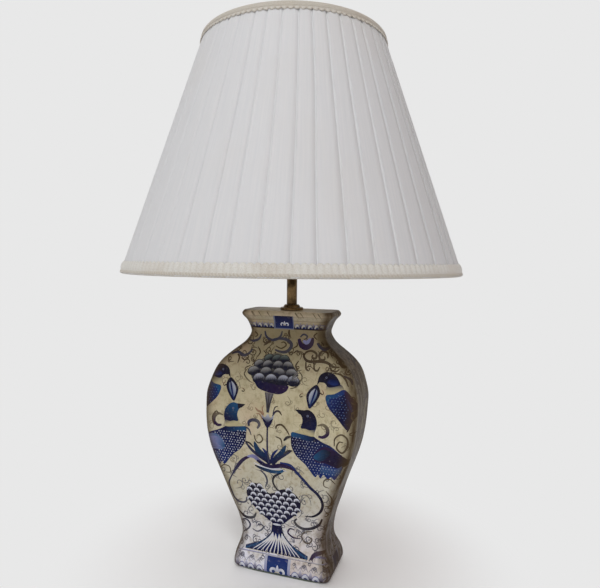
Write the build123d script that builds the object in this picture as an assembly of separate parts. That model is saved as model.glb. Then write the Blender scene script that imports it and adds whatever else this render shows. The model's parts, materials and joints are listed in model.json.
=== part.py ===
from build123d import *
import os
from math import atan, cos, degrees, pi, radians, sin

# Table lamp: a flattened baluster jar of glazed ceramic on a felt pad, a brass neck, a harp, and a
# knife-pleated empire shade. Millimetres, +Z up, origin on the table at the centre of the foot.
# The painted front of the jar faces -Y and its long side lies along X.

# ---------------------------------------------------------------- driving dimensions
# ceramic body: full widths (along X) and depths (along Y)
vase_height = 320.0
belly_width, belly_depth = 195.0, 72.0
waist_width, waist_depth = 109.0, 52.0
foot_width, foot_depth = 124.0, 75.0
neck_width, neck_depth = 95.0, 43.0
lip_width, lip_depth = 116.5, 52.0
corner_radius = 9.0
belly_lean = 7.0                # the pressed clay leans this far to -X at mid height
lean_fullness = 1.3             # 1 is a plain sine bow, more is flatter at both ends
ceramic_wall = 6.0
foot_ring_wall = 10.0           # ceramic left around the recess under the foot
recess_top = 16.0               # height of the recess ceiling above the table
floor_thickness = 6.0
lid_thickness = 8.0             # closed ceramic top
edge_round = 1.5                # softened bottom and top edges

# felt and cord bushing
felt_thickness = 2.0
felt_inset = 3.0
felt_width = 7.0                # width of the felt band under the foot ring
bushing_height = 9.5            # cord hole centre above the table
bushing_bore = 3.5
bushing_wall = 1.5
bushing_flange = 7.4
bushing_flange_thickness = 2.0
bushing_edge = 0.8              # bevel of the flange's rim

# pipe and its hardware
pipe_radius = 5.15
pipe_bore = 3.2
pipe_end_height = 4.5
pipe_top_gap = 1.0              # from the pipe's upper end to the top of the cap's boss
pipe_hole_gap = 0.65            # around the pipe where it passes the ceramic
bottom_washer_radius, bottom_washer_thickness = 17.0, 2.0
lock_washer_radius, lock_washer_thickness, lock_washer_split = 9.5, 1.5, 1.2
bottom_nut_across_flats, bottom_nut_thickness = 16.0, 5.5

# brass neck
flange_radius, flange_height = 14.3, 6.6
neck_tube_gap, neck_tube_wall = 0.4, 0.8    # the tube slips over the pipe
neck_tube_length = 44.4

# harp and its saddle
saddle_thickness, saddle_strip_width = 1.6, 12.0
saddle_flat = 12.0              # half length of the flat middle
saddle_hole_wall = 3.0          # strip left round the pipe's hole
peg_spacing = 27.0              # each peg's distance from the axis
saddle_rise = 8.0               # from the flat to the collars
collar_radius, collar_height = 3.0, 6.0
peg_radius, peg_length = 1.6, 10.0
harp_wire_radius = 2.1
harp_height = 254.0             # saddle to the seat under the shade
harp_half_width = 56.0
harp_straight = 16.0            # upright stretch above each harp foot, for its sleeve
harp_shoulder_rise = 62.0       # height over which each leg spreads to the full width
harp_foot_length = 11.0
sleeve_wall, sleeve_length, sleeve_lip = 1.1, 12.0, 0.5
harp_boss_radius, harp_boss_height = 6.5, 8.0
harp_apex_drop = 4.2            # from the seat down to the middle of the wire's top
harp_foot_lap = 1.0             # the wire runs this far into each foot
stud_radius, stud_length, stud_bevel = 3.1, 16.0, 0.6
peg_hole_gap = 0.4              # above the end of each peg

# lamp holder and switch
cap_height, cap_boss_wall, cap_boss_height = 19.0, 2.4, 6.5
cap_screw_height, cap_screw_radius, cap_screw_head = 3.2, 1.45, 2.4
shell_radius, sheet_metal = 16.5, 0.6
shell_length = 45.0
cap_lap = 4.0                   # how far the shell sits inside the cap
shell_bead, shell_bead_half = 0.9, 1.5      # how far a bead stands out, and half its height
middle_bead_height = 27.5
liner_thickness, liner_end_gap = 0.7, 0.5
holder_body_height = 18.0
holder_body_gap = 2.0           # under the holder body, inside the shell
pipe_pocket_gap, pipe_pocket_depth = 1.5, 3.0
terminal_height, terminal_radius, terminal_depth = 6.0, 1.2, 4.0
contact_radius, contact_thickness = 4.0, 0.5
rivet_radius, rivet_length = 1.5, 3.0
screw_shell_wall = 0.5
thread_ridge, thread_pitch, thread_turns = 0.55, 3.63, 5
knob_height = 9.0               # switch axis above the bottom of the holder body
knob_radius, knob_length = 6.2, 11.0
stem_radius, stem_length = 2.0, 19.0
stem_seat_depth, stem_hole_gap = 8.0, 0.6
knob_overhang = 1.5             # the knob's face stands this far past the stem's end
flute_count, flute_radius = 12, 1.0

# bulb
bulb_cap_radius = 12.6
bulb_neck_radius, bulb_radius = 14.0, 30.0
bulb_glass_length = 82.0        # from the top of the screw cap
bulb_glass_wall = 0.8
bulb_tip_height = 5.5           # tip contact and insulator under the screw cap
bulb_cap_rim = 2.0              # plain rim above the cap's thread
bulb_glass_seat = 4.0           # the envelope starts this far up inside the cap
bulb_mount_height = 31.0        # glass mount that carries the filament

# shade
shade_bottom_radius, shade_top_radius = 203.2, 109.0
shade_height = 275.6
spider_drop = 12.6              # hub plane below the top edge of the shade
pleat_count = 46
pleat_depth = 2.4               # at the bottom edge; it narrows with the cone
pleat_step_share = 0.09         # part of each pleat's pitch that steps back out
cover_thickness, cover_end_gap = 1.6, 0.6
trim_thickness = 2.2
bottom_trim_height, top_trim_height = 14.0, 10.0
trim_edge = 0.9                 # rounding of the braid's long edges
ring_wire_radius, ring_end_gap = 2.0, 0.5
rib_wire_radius = 1.5
rib_count = 8
arm_count = 3
arm_wire_radius = 1.8
arm_turn = 0.25                 # first arm's place, as a share of the angle between two arms
arm_lap = 2.0                   # how far an arm reaches under the hub's rim
knee_inset, knee_radius = 9.0, 8.0
lining_thickness = 0.8
lining_bottom_gap = 1.0
lining_top_gap = 8.5            # the lining stops under the spider arms
hub_radius, hub_hole_radius, hub_thickness = 12.5, 5.5, 1.6

# finial
finial_height = 30.0
finial_base_radius, finial_ball_radius = 8.0, 8.6

# clearances
thread_clearance = 0.05         # radial, a screwed fit
running_clearance = 0.08        # radial, a shaft or sleeve that slides or turns
loose_clearance = 0.3           # between pieces that lie close but don't bear
bearing_gap = 0.2               # between faces that turn on each other

# ---------------------------------------------------------------- heights worked out from them
nut_top = recess_top - bottom_washer_thickness - lock_washer_thickness
neck_top = vase_height + flange_height + neck_tube_length
neck_tube_bore = pipe_radius + neck_tube_gap
saddle_top = neck_top + saddle_thickness
collar_base = saddle_top + saddle_rise
collar_top = collar_base + collar_height
harp_seat = saddle_top + harp_height
hub_bottom = harp_seat + bearing_gap
shade_top = hub_bottom + hub_thickness / 2 + spider_drop
shade_bottom = shade_top - shade_height
shell_bottom = saddle_top + cap_height - cap_lap
shell_top = shell_bottom + shell_length
holder_body_bottom = shell_bottom + holder_body_gap
holder_body_top = holder_body_bottom + holder_body_height
knob_axis = holder_body_bottom + knob_height
cap_boss_radius = pipe_radius + thread_clearance + cap_boss_wall
cap_inner_radius = shell_radius + running_clearance
liner_radius = shell_radius - sheet_metal - running_clearance
holder_body_radius = liner_radius - liner_thickness - loose_clearance
bulb_tip = holder_body_top + contact_thickness + loose_clearance
bulb_cap_bottom = bulb_tip + bulb_tip_height
bulb_cap_top = bulb_cap_bottom + thread_pitch * thread_turns + bulb_cap_rim
bulb_mount_base = bulb_cap_bottom + bulb_glass_seat + 2 * bulb_glass_wall
cone_slope = (shade_bottom_radius - shade_top_radius) / shade_height


def lathe(points):
    """Solid of revolution about Z from (radius, height) corners."""
    outline = make_face(Polyline(*[(r, 0, z) for r, z in points], close=True))
    return revolve(outline, Axis.Z)


def ring(outer, inner, bottom, top):
    """Plain round ring between two heights."""
    return Pos(0, 0, bottom) * extrude(Circle(outer) - Circle(inner), top - bottom)


def disc(radius, bottom, top):
    return Pos(0, 0, bottom) * extrude(Circle(radius), top - bottom)


def rod(start, end, radius):
    """Straight round bar between two points."""
    run = Vector(*end) - Vector(*start)
    return extrude(Plane(Vector(*start), z_dir=run) * Circle(radius), run.length)


def between(low, high, share):
    return low + share * (high - low)


# ---------------------------------------------------------------- ceramic body
# Each row: height as a share of the body, and how far the section has gone from one named section
# to the next one up.
FOOT = (foot_width, foot_depth)
WAIST = (waist_width, waist_depth)
BELLY = (belly_width, belly_depth)
NECK = (neck_width, neck_depth)
LIP = (lip_width, lip_depth)
foot_to_waist = [(0.016, 0.0), (0.05, 0.12), (0.078, 0.45), (0.105, 0.83)]
waist_to_belly = [(0.135, 0.0), (0.175, 0.04), (0.225, 0.15), (0.30, 0.36), (0.375, 0.57)]
waist_to_belly += [(0.45, 0.785), (0.525, 0.925), (0.59, 0.975)]
belly_to_neck = [(0.65, 0.01), (0.725, 0.09), (0.775, 0.21), (0.80, 0.31)]
belly_to_neck += [(0.825, 0.46), (0.85, 0.65), (0.875, 0.845), (0.90, 0.965)]
neck_to_lip = [(0.925, 0.0), (0.95, 0.26), (0.972, 0.70), (0.984, 1.0)]


def body_sections():
    """(height, width, depth) up the outside of the ceramic body."""
    rows = [(felt_thickness, foot_width - 4 * edge_round, foot_depth - 4 * edge_round)]
    spans = [(foot_to_waist, FOOT, WAIST), (waist_to_belly, WAIST, BELLY)]
    spans += [(belly_to_neck, BELLY, NECK), (neck_to_lip, NECK, LIP)]
    for span, low, high in spans:
        for height, share in span:
            width = between(low[0], high[0], share)
            rows.append((height * vase_height, width, between(low[1], high[1], share)))
    rows.append((vase_height - edge_round, lip_width - edge_round, lip_depth - edge_round))
    rows.append((vase_height, lip_width - 4 * edge_round, lip_depth - 4 * edge_round))
    return rows


def lean_at(height):
    """Sideways lean of the pressed clay: none at the foot and the neck, most at mid height."""
    low, high = 0.0375 * vase_height, 0.9 * vase_height
    if height <= low or height >= high:
        return 0.0
    return -belly_lean * sin(pi * (height - low) / (high - low)) ** lean_fullness


def rounded_section(height, width, depth, radius):
    return Pos(lean_at(height), 0, height) * RectangleRounded(width, depth, radius)


def vase_body():
    rows = body_sections()
    outside = loft([rounded_section(*row, corner_radius) for row in rows])
    cavity_floor, cavity_neck = recess_top + floor_thickness, neck_to_lip[0][0] * vase_height
    least_rise = 4.0
    hollow_rows = [(cavity_floor, *rows[3][1:])]
    hollow_rows += [row for row in rows if cavity_floor + least_rise < row[0] <= cavity_neck]
    hollow_rows.append((vase_height - lid_thickness, *NECK))
    inset = 2 * ceramic_wall
    inner_radius = corner_radius - ceramic_wall / 2
    hollow = [rounded_section(h, w - inset, d - inset, inner_radius) for h, w, d in hollow_rows]
    recess_width, recess_depth = foot_width - 2 * foot_ring_wall, foot_depth - 2 * foot_ring_wall
    recess = extrude(RectangleRounded(recess_width, recess_depth, inner_radius), recess_top)
    cord_hole = rod((0, 0, bushing_height), (0, foot_depth, bushing_height),
                    bushing_bore + bushing_wall + loose_clearance / 3)
    pipe_holes = disc(pipe_radius + pipe_hole_gap, 0, vase_height + 1)
    return outside - loft(hollow) - recess - cord_hole - pipe_holes


def felt_pad():
    """Felt band glued round the underside of the foot ring."""
    width, depth = foot_width - 2 * felt_inset, foot_depth - 2 * felt_inset
    inner_corner = 2.0
    outer = RectangleRounded(width, depth, corner_radius - felt_inset / 2)
    inner = RectangleRounded(width - 2 * felt_width, depth - 2 * felt_width, inner_corner)
    return extrude(outer - inner, felt_thickness)


def cord_bushing():
    """Plastic bushing that lines the cord hole in the back of the foot."""
    wall_inner, wall_outer = foot_depth / 2 - foot_ring_wall, foot_depth / 2
    body = bushing_bore + bushing_wall
    points = [(bushing_bore, wall_inner), (body, wall_inner), (body, wall_outer + loose_clearance)]
    points += [(bushing_flange, wall_outer + loose_clearance)]
    points += [(bushing_flange, wall_outer + bushing_flange_thickness - bushing_edge)]
    points += [(bushing_flange - bushing_edge, wall_outer + bushing_flange_thickness)]
    points += [(bushing_bore, wall_outer + bushing_flange_thickness)]
    return Pos(0, 0, bushing_height) * Rot(X=-90) * lathe(points)


# ---------------------------------------------------------------- pipe and hardware
def lamp_pipe():
    return ring(pipe_radius, pipe_bore, pipe_end_height, saddle_top + cap_boss_height - pipe_top_gap)


def bottom_washer():
    hole = pipe_radius + thread_clearance
    return ring(bottom_washer_radius, hole, recess_top - bottom_washer_thickness, recess_top)


def lock_washer():
    """Split spring washer."""
    whole = ring(lock_washer_radius, pipe_radius + thread_clearance, nut_top,
                 nut_top + lock_washer_thickness)
    split = Box(lock_washer_radius, lock_washer_split, 4 * lock_washer_thickness)
    return whole - Pos(0.7 * lock_washer_radius, 0, nut_top) * split


def bottom_nut():
    across_corners = bottom_nut_across_flats / cos(radians(30))
    prism = extrude(RegularPolygon(across_corners / 2, 6), bottom_nut_thickness)
    outside, bevel_height = across_corners / 2 + loose_clearance, 1.4
    bevel = lathe([(0, 0), (bottom_nut_across_flats / 2, 0), (outside, bevel_height),
                   (outside, bottom_nut_thickness), (0, bottom_nut_thickness)])
    bore = disc(pipe_radius + thread_clearance, 0, bottom_nut_thickness)
    return Pos(0, 0, nut_top - bottom_nut_thickness) * ((prism & bevel) - bore)


def neck_flange():
    """Stepped brass check ring on the ceramic top."""
    bore = pipe_radius + running_clearance
    base = vase_height
    step = flange_height / 2
    points = [(bore, base), (flange_radius - 0.5, base), (flange_radius, base + 0.6)]
    points += [(flange_radius, base + step - 0.8), (flange_radius - 1.0, base + step)]
    points += [(flange_radius - 3.6, base + step + 0.2), (flange_radius - 4.2, base + step + 1.0)]
    points += [(flange_radius - 4.8, base + flange_height - 0.9)]
    points += [(flange_radius - 5.8, base + flange_height), (bore, base + flange_height)]
    return lathe(points)


def neck_tube():
    bottom = vase_height + flange_height
    return ring(neck_tube_bore + neck_tube_wall, neck_tube_bore, bottom, neck_top)


# ---------------------------------------------------------------- harp saddle, harp and sleeves
def harp_saddle():
    """Strip clamped under the lamp holder; its ends turn up into collars with pegs."""
    half = saddle_strip_width / 2
    strip = [(-saddle_flat, neck_top), (saddle_flat, neck_top)]
    tip, heel = peg_spacing + collar_radius, peg_spacing - collar_radius
    bend = saddle_flat - 0.6
    strip += [(tip, collar_base - saddle_thickness), (tip, collar_base), (heel, collar_base)]
    strip += [(bend, saddle_top), (-bend, saddle_top), (-heel, collar_base), (-tip, collar_base)]
    strip += [(-tip, collar_base - saddle_thickness)]
    side = make_face(Polyline(*[(x, 0, z) for x, z in strip], close=True))
    body = extrude(side, half, both=True, dir=(0, 1, 0))
    waist = Box(4 * peg_spacing, saddle_strip_width, 60) - Box(2 * saddle_flat + 4, 40, 60)
    waist -= Box(4 * peg_spacing, 2 * collar_radius, 60)
    body -= Pos(0, 0, neck_top) * waist
    body += disc(pipe_radius + running_clearance + saddle_hole_wall, neck_top, saddle_top)
    body -= disc(pipe_radius + running_clearance, neck_top - 1, saddle_top + 1)
    for side_sign in (-1, 1):
        column = disc(collar_radius, collar_base - saddle_thickness / 4, collar_top)
        column += disc(peg_radius, collar_base, collar_top + peg_length)
        body += Pos(side_sign * peg_spacing, 0, 0) * column
    return body


def harp_wire():
    """Bent wire of the harp, from foot to foot."""
    foot_top = collar_top + bearing_gap + harp_foot_length
    straight_top = foot_top + harp_straight
    spread = harp_half_width - peg_spacing
    turn = 2 * degrees(atan(spread / harp_shoulder_rise))
    bend = harp_shoulder_rise / (2 * sin(radians(turn)))
    apex = harp_seat - harp_apex_drop
    crown = apex - harp_half_width
    with BuildLine(Plane.XZ) as path:
        Line((-peg_spacing, foot_top - harp_foot_lap), (-peg_spacing, straight_top))
        JernArc(path.line @ 1, path.line % 1, bend, turn)
        JernArc(path.line @ 1, path.line % 1, bend, -turn)
        Line(path.line @ 1, (-harp_half_width, crown))
        JernArc(path.line @ 1, path.line % 1, harp_half_width, -180)
        Line(path.line @ 1, (harp_half_width, straight_top + harp_shoulder_rise))
        JernArc(path.line @ 1, path.line % 1, bend, -turn)
        JernArc(path.line @ 1, path.line % 1, bend, turn)
        Line(path.line @ 1, (peg_spacing, foot_top - harp_foot_lap))
    start = Plane(path.line @ 0, z_dir=path.line % 0)
    return sweep(start * Circle(harp_wire_radius), path=path.line)


def harp_bow():
    """The bent wire with a socketed foot on each end."""
    bow = harp_wire()
    foot_bottom = collar_top + bearing_gap
    for side_sign in (-1, 1):
        foot = disc(collar_radius, foot_bottom, foot_bottom + harp_foot_length)
        bow += Pos(side_sign * peg_spacing, 0, 0) * foot
    for side_sign in (-1, 1):
        hole = disc(peg_radius + running_clearance, foot_bottom, collar_top + peg_length + peg_hole_gap)
        bow -= Pos(side_sign * peg_spacing, 0, 0) * hole
    return bow


def harp_stud(bow):
    """Boss crimped round the top of the bow, with the threaded stud that carries the shade."""
    boss = disc(harp_boss_radius, harp_seat - harp_boss_height, harp_seat)
    stud = disc(stud_radius, harp_seat, harp_seat + stud_length - stud_bevel)
    tip = Cone(stud_radius, stud_radius - stud_bevel, stud_bevel)
    tip = Pos(0, 0, harp_seat + stud_length - stud_bevel / 2) * tip
    return boss + stud + tip - bow


def harp_sleeve(side_sign):
    """Sleeve that drops over the joint between a saddle collar and a harp foot."""
    bottom = collar_base + loose_clearance
    bore = collar_radius + running_clearance
    outer = bore + sleeve_wall
    rim, lip_height = outer + sleeve_lip, 4 * sleeve_lip
    points = [(bore, bottom), (rim, bottom), (rim, bottom + lip_height)]
    points += [(outer, bottom + lip_height + sleeve_lip)]
    points += [(outer, bottom + sleeve_length - sleeve_lip), (outer - sleeve_lip, bottom + sleeve_length)]
    points += [(bore, bottom + sleeve_length)]
    return Pos(side_sign * peg_spacing, 0, 0) * lathe(points)


# ---------------------------------------------------------------- lamp holder
def socket_cap():
    """Spun brass cap that screws onto the pipe and clamps the saddle."""
    base = saddle_top
    bore = pipe_radius + thread_clearance
    outer = cap_inner_radius + sheet_metal
    skirt = base + cap_height - cap_lap - 3.0
    points = [(bore, base), (cap_boss_radius, base), (cap_boss_radius, base + cap_boss_height)]
    points += [(cap_boss_radius + 4.0, base + cap_boss_height + 1.2), (outer - 1.6, skirt - 3.0)]
    points += [(outer, skirt), (outer + 0.6, base + cap_height - 1.2), (outer, base + cap_height)]
    points += [(cap_inner_radius, base + cap_height), (cap_inner_radius, skirt)]
    points += [(outer - 1.6 - sheet_metal, skirt - 2.4)]
    points += [(cap_boss_radius + 3.4, base + cap_boss_height + 1.9)]
    points += [(cap_boss_radius - 0.6, base + cap_boss_height + 0.8), (bore, base + cap_boss_height + 0.8)]
    screw_hole = rod((0, 0, base + cap_screw_height), (0, cap_boss_radius + 1, base + cap_screw_height),
                     cap_screw_radius + thread_clearance)
    return lathe(points) - screw_hole


def cap_screw():
    """Set screw in the cap's boss, at the back."""
    height = saddle_top + cap_screw_height
    head_seat = cap_boss_radius + loose_clearance
    head_top, slot_width = head_seat + 1.7, 0.7
    shank = rod((0, pipe_radius + thread_clearance, height), (0, head_top - slot_width, height),
                cap_screw_radius)
    head = rod((0, head_seat, height), (0, head_top, height), cap_screw_head)
    slot = Pos(0, head_top, height) * Box(3 * cap_screw_head, 2 * slot_width, slot_width)
    return shank + head - slot


def stem_hole():
    """Cutter for the switch stem's hole in the shell and its liner."""
    return rod((0, 0, knob_axis), (0, -2 * shell_radius, knob_axis), stem_radius + stem_hole_gap)


def socket_shell():
    """Drawn brass shell, with beads at the cap and at the mouth."""
    outer, inner = shell_radius, shell_radius - sheet_metal
    points = [(inner, shell_bottom), (outer, shell_bottom)]
    for bead in (shell_bottom + middle_bead_height, shell_top - shell_bead_half):
        points += [(outer, bead - shell_bead_half), (outer + shell_bead, bead)]
        points += [(outer, bead + shell_bead_half)]
    points += [(inner, shell_top)]
    return lathe(points) - stem_hole()


def paper_liner():
    inner = liner_radius - liner_thickness
    tube = ring(liner_radius, inner, shell_bottom + liner_end_gap, shell_top - 2 * liner_end_gap)
    return tube - stem_hole()


def holder_body():
    """Moulded insulating body that holds the contacts and the switch."""
    body = disc(holder_body_radius, holder_body_bottom, holder_body_top)
    pocket_top = holder_body_bottom + pipe_pocket_depth
    body -= disc(pipe_radius + pipe_pocket_gap, holder_body_bottom, pocket_top)
    seat = stem_seat_depth - holder_body_radius
    body -= rod((0, seat, knob_axis), (0, -holder_body_radius - 1, knob_axis),
                stem_radius + running_clearance)
    body -= disc(rivet_radius, holder_body_top - rivet_length, holder_body_top)
    screw_height = holder_body_bottom + terminal_height
    for side_sign in (-1, 1):
        inner_end = (side_sign * (holder_body_radius - terminal_depth), 0, screw_height)
        outer_end = (side_sign * (holder_body_radius + 1), 0, screw_height)
        body -= rod(inner_end, outer_end, terminal_radius)
    return body


def terminal_screws():
    """Two screws in the sides of the holder body."""
    height = holder_body_bottom + terminal_height
    proud = 0.2
    screws = []
    for side_sign in (-1, 1):
        inner_end = (side_sign * (holder_body_radius - terminal_depth), 0, height)
        outer_end = (side_sign * (holder_body_radius + proud), 0, height)
        screws.append(rod(inner_end, outer_end, terminal_radius))
    return Compound(children=screws)


def thread_wall(radius, bottom):
    """Corners of a rolled thread's outline, from the bottom up."""
    points = []
    for turn in range(thread_turns):
        start = bottom + turn * thread_pitch
        points += [(radius, start), (radius + thread_ridge, start + 0.35 * thread_pitch)]
        points += [(radius + thread_ridge, start + 0.65 * thread_pitch)]
    points.append((radius, bottom + thread_turns * thread_pitch))
    return points


def screw_shell():
    """Threaded shell that the bulb screws into."""
    inner = bulb_cap_radius + loose_clearance
    bore = thread_wall(inner, bulb_cap_bottom)
    skin = thread_wall(inner + screw_shell_wall, bulb_cap_bottom)
    low, high = holder_body_top, bulb_cap_top
    points = [(inner, low)] + bore + [(inner, high), (inner + screw_shell_wall, high)]
    points += list(reversed(skin)) + [(inner + screw_shell_wall, low)]
    return lathe(points)


def centre_contact():
    leaf = disc(contact_radius, holder_body_top, holder_body_top + contact_thickness)
    return leaf + disc(rivet_radius, holder_body_top - rivet_length, holder_body_top + contact_thickness / 2)


stem_start = stem_seat_depth - holder_body_radius - loose_clearance
stem_end = stem_start - stem_length


def knob_stem():
    return rod((0, stem_start, knob_axis), (0, stem_end, knob_axis), stem_radius)


def switch_knob():
    """Fluted turn knob on the stem."""
    face, face_bevel = stem_end - knob_overhang, 1.2
    back = face + knob_length
    knob = rod((0, back, knob_axis), (0, face, knob_axis), knob_radius)
    knob = chamfer(knob.edges().sort_by(Axis.Y)[0], face_bevel)
    flute_circle = knob_radius + flute_radius / 2
    for index in range(flute_count):
        angle = 2 * pi * index / flute_count
        x, z = flute_circle * cos(angle), knob_axis + flute_circle * sin(angle)
        knob -= rod((x, back + 1, z), (x, face - 1, z), flute_radius)
    return knob - knob_stem()


# ---------------------------------------------------------------- bulb
def bulb_cap():
    inner = bulb_cap_radius - screw_shell_wall
    points = [(inner, bulb_cap_bottom)] + thread_wall(bulb_cap_radius, bulb_cap_bottom)
    points += [(bulb_cap_radius, bulb_cap_top), (inner, bulb_cap_top)]
    return lathe(points)


def bulb_insulator():
    """Black glass between the screw cap and the tip contact."""
    low, high = bulb_tip + 1.5, bulb_cap_bottom
    return lathe([(0, low), (4.6, low), (bulb_cap_radius - screw_shell_wall, high - 0.4),
                  (bulb_cap_radius - screw_shell_wall, high + 1.0), (0, high + 1.0)])


def bulb_contact():
    return lathe([(0, bulb_tip), (2.6, bulb_tip), (4.4, bulb_tip + 0.9), (4.4, bulb_tip + 1.5),
                  (0, bulb_tip + 1.5)])


def bulb_outline(inset):
    """Half outline of the envelope, drawn in from the outside by inset."""
    neck_base = bulb_cap_bottom + bulb_glass_seat + inset
    base_radius = bulb_cap_radius - screw_shell_wall - running_clearance - inset
    centre = bulb_cap_top + bulb_glass_length - bulb_radius
    radius = bulb_radius - inset
    low_angle = radians(28)
    join = (radius * cos(low_angle), centre - radius * sin(low_angle))
    with BuildSketch(Plane.XZ) as half:
        with BuildLine():
            Line((0, neck_base), (base_radius, neck_base))
            Line((base_radius, neck_base), (base_radius, bulb_cap_top))
            Spline((base_radius, bulb_cap_top), (bulb_neck_radius - inset, bulb_cap_top + 9), join,
                   tangents=[(0.35, 1), (sin(low_angle), cos(low_angle))])
            arc_middle = radians(25)
            ThreePointArc(join, (radius * cos(arc_middle), centre + radius * sin(arc_middle)),
                          (0, centre + radius))
            Line((0, centre + radius), (0, neck_base))
        make_face()
    return half.sketch


def bulb_glass():
    outside = revolve(bulb_outline(0), Axis.Z)
    inside = revolve(bulb_outline(bulb_glass_wall), Axis.Z)
    return outside - inside


def filament_stem():
    """Glass mount that stands in the neck of the envelope."""
    low = bulb_mount_base
    top = low + bulb_mount_height
    flare = bulb_cap_radius - screw_shell_wall - 2 * bulb_glass_wall - loose_clearance
    return lathe([(0, low), (flare, low), (flare, low + 0.8), (5.0, low + 4.0), (3.2, low + 12.0),
                  (3.2, top - 5.0), (4.0, top - 3.5), (2.4, top), (0, top)])


def filament():
    """Two lead wires and the filament arc between them."""
    low = bulb_mount_base + bulb_mount_height + loose_clearance
    top, spread, wire = low + 20.0, 13.0, 0.45
    leads = rod((1.4, 0, low), (spread, 0, top), wire) + rod((-1.4, 0, low), (-spread, 0, top), wire)
    arc = ThreePointArc((-spread, 0, top), (0, 5.0, top), (spread, 0, top))
    coil = sweep(Plane(arc @ 0, z_dir=arc % 0) * Circle(0.9), path=arc)
    return leads + coil


# ---------------------------------------------------------------- shade
def envelope_radius(height):
    """Outer radius of the shade, trims included, at a height."""
    return shade_bottom_radius - cone_slope * (height - shade_bottom)


def cone_band(inset_outer, inset_inner, bottom, top):
    """Band of the cone between two heights, set in from the envelope."""
    low, high = envelope_radius(bottom), envelope_radius(top)
    points = [(low - inset_inner, bottom), (low - inset_outer, bottom)]
    points += [(high - inset_outer, top), (high - inset_inner, top)]
    return lathe(points)


cover_inset = trim_thickness + loose_clearance
ring_inset = cover_inset + pleat_depth + cover_thickness + loose_clearance + ring_wire_radius
lining_inset = ring_inset + ring_wire_radius / cos(atan(cone_slope)) + loose_clearance
bottom_ring_height = shade_bottom + ring_wire_radius + ring_end_gap
top_ring_height = shade_top - ring_wire_radius - ring_end_gap
bottom_ring_radius = envelope_radius(bottom_ring_height) - ring_inset
top_ring_radius = envelope_radius(top_ring_height) - ring_inset


def pleat_polygon(outer_radius, depth, height):
    """Saw-toothed outline of knife pleats: each runs in by the depth, then steps out."""
    pitch = 2 * pi / pleat_count
    step = pleat_step_share * pitch
    points = []
    for index in range(pleat_count):
        start = index * pitch
        points.append((outer_radius * cos(start), outer_radius * sin(start), height))
        inner_angle = start + pitch - step
        inner = outer_radius - depth
        points.append((inner * cos(inner_angle), inner * sin(inner_angle), height))
    return make_face(Polyline(*points, close=True))


def pleated_frustum(inset):
    """Solid frustum with the pleats' outline; the top is the bottom drawn in towards the apex."""
    low, high = shade_bottom + cover_end_gap, shade_top - cover_end_gap
    low_radius = envelope_radius(low) - inset
    shrink = (envelope_radius(high) - inset) / low_radius
    bottom = pleat_polygon(low_radius, pleat_depth, low)
    top = pleat_polygon(low_radius * shrink, pleat_depth * shrink, high)
    return loft([bottom, top], ruled=True)


def shade_cover():
    """Knife-pleated fabric, its folds running from ring to ring."""
    return pleated_frustum(cover_inset) - pleated_frustum(cover_inset + cover_thickness)


def shade_lining():
    return cone_band(lining_inset, lining_inset + lining_thickness, shade_bottom + lining_bottom_gap,
                     shade_top - lining_top_gap)


def trim_band(bottom, top):
    """Braid glued round an edge of the shade, with a rounded outline."""
    low, high = envelope_radius(bottom), envelope_radius(top)
    points = [(low - trim_thickness, bottom), (low - trim_edge, bottom)]
    points += [(envelope_radius(bottom + trim_edge), bottom + trim_edge)]
    points += [(envelope_radius(top - trim_edge), top - trim_edge)]
    points += [(high - trim_edge, top), (high - trim_thickness, top)]
    return lathe(points)


def wire_ring(radius, height):
    return Pos(0, 0, height) * Torus(radius, ring_wire_radius)


def shade_ribs(rings):
    """Straight wires between the two rings."""
    ribs = []
    for index in range(rib_count):
        angle = 2 * pi * (index + 0.5) / rib_count
        low = (bottom_ring_radius * cos(angle), bottom_ring_radius * sin(angle), bottom_ring_height)
        high = (top_ring_radius * cos(angle), top_ring_radius * sin(angle), top_ring_height)
        ribs.append(rod(low, high, rib_wire_radius) - rings)
    return Compound(children=ribs)


def spider_hub():
    return ring(hub_radius, hub_hole_radius, hub_bottom, hub_bottom + hub_thickness)


def spider_arms(rings, hub):
    """Wires from the hub out to the top ring, stepped down so that the hub sits in the shade."""
    hub_plane = hub_bottom + hub_thickness / 2
    arms = []
    for index in range(arm_count):
        angle = 360 * (index + arm_turn) / arm_count
        inner, knee = hub_radius - arm_lap, top_ring_radius - knee_inset
        route = FilletPolyline((inner, 0, hub_plane), (knee, 0, hub_plane),
                               (top_ring_radius, 0, top_ring_height), radius=knee_radius)
        arm = sweep(Plane(route @ 0, z_dir=route % 0) * Circle(arm_wire_radius), path=route)
        arms.append(Rot(Z=angle) * arm - rings - hub)
    return Compound(children=arms)


# ---------------------------------------------------------------- finial
def finial():
    """Turned brass knob that screws down on the hub."""
    base = hub_bottom + hub_thickness + bearing_gap
    ball = base + finial_height - finial_ball_radius - 2.5
    points = [(0, base), (finial_base_radius, base), (finial_base_radius, base + 1.6)]
    points += [(finial_base_radius - 1.2, base + 2.6), (4.6, base + 3.6), (3.9, base + 5.6)]
    points += [(4.4, base + 7.4), (5.6, base + 8.2), (4.6, base + 9.2)]
    for step in range(8):
        angle = radians(-60 + 20 * step)
        points.append((finial_ball_radius * cos(angle), ball + finial_ball_radius * sin(angle)))
    points += [(1.8, base + finial_height - 2.3), (1.5, base + finial_height - 0.7)]
    points += [(0, base + finial_height)]
    bore = disc(stud_radius + running_clearance, base - 1, harp_seat + stud_length + 0.8)
    return lathe(points) - bore


# ---------------------------------------------------------------- build and write the pieces
os.makedirs("parts", exist_ok=True)
bow = harp_bow()
bottom_ring = wire_ring(bottom_ring_radius, bottom_ring_height)
top_ring = wire_ring(top_ring_radius, top_ring_height)
hub_piece = spider_hub()
both_rings = [bottom_ring, top_ring]

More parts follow.
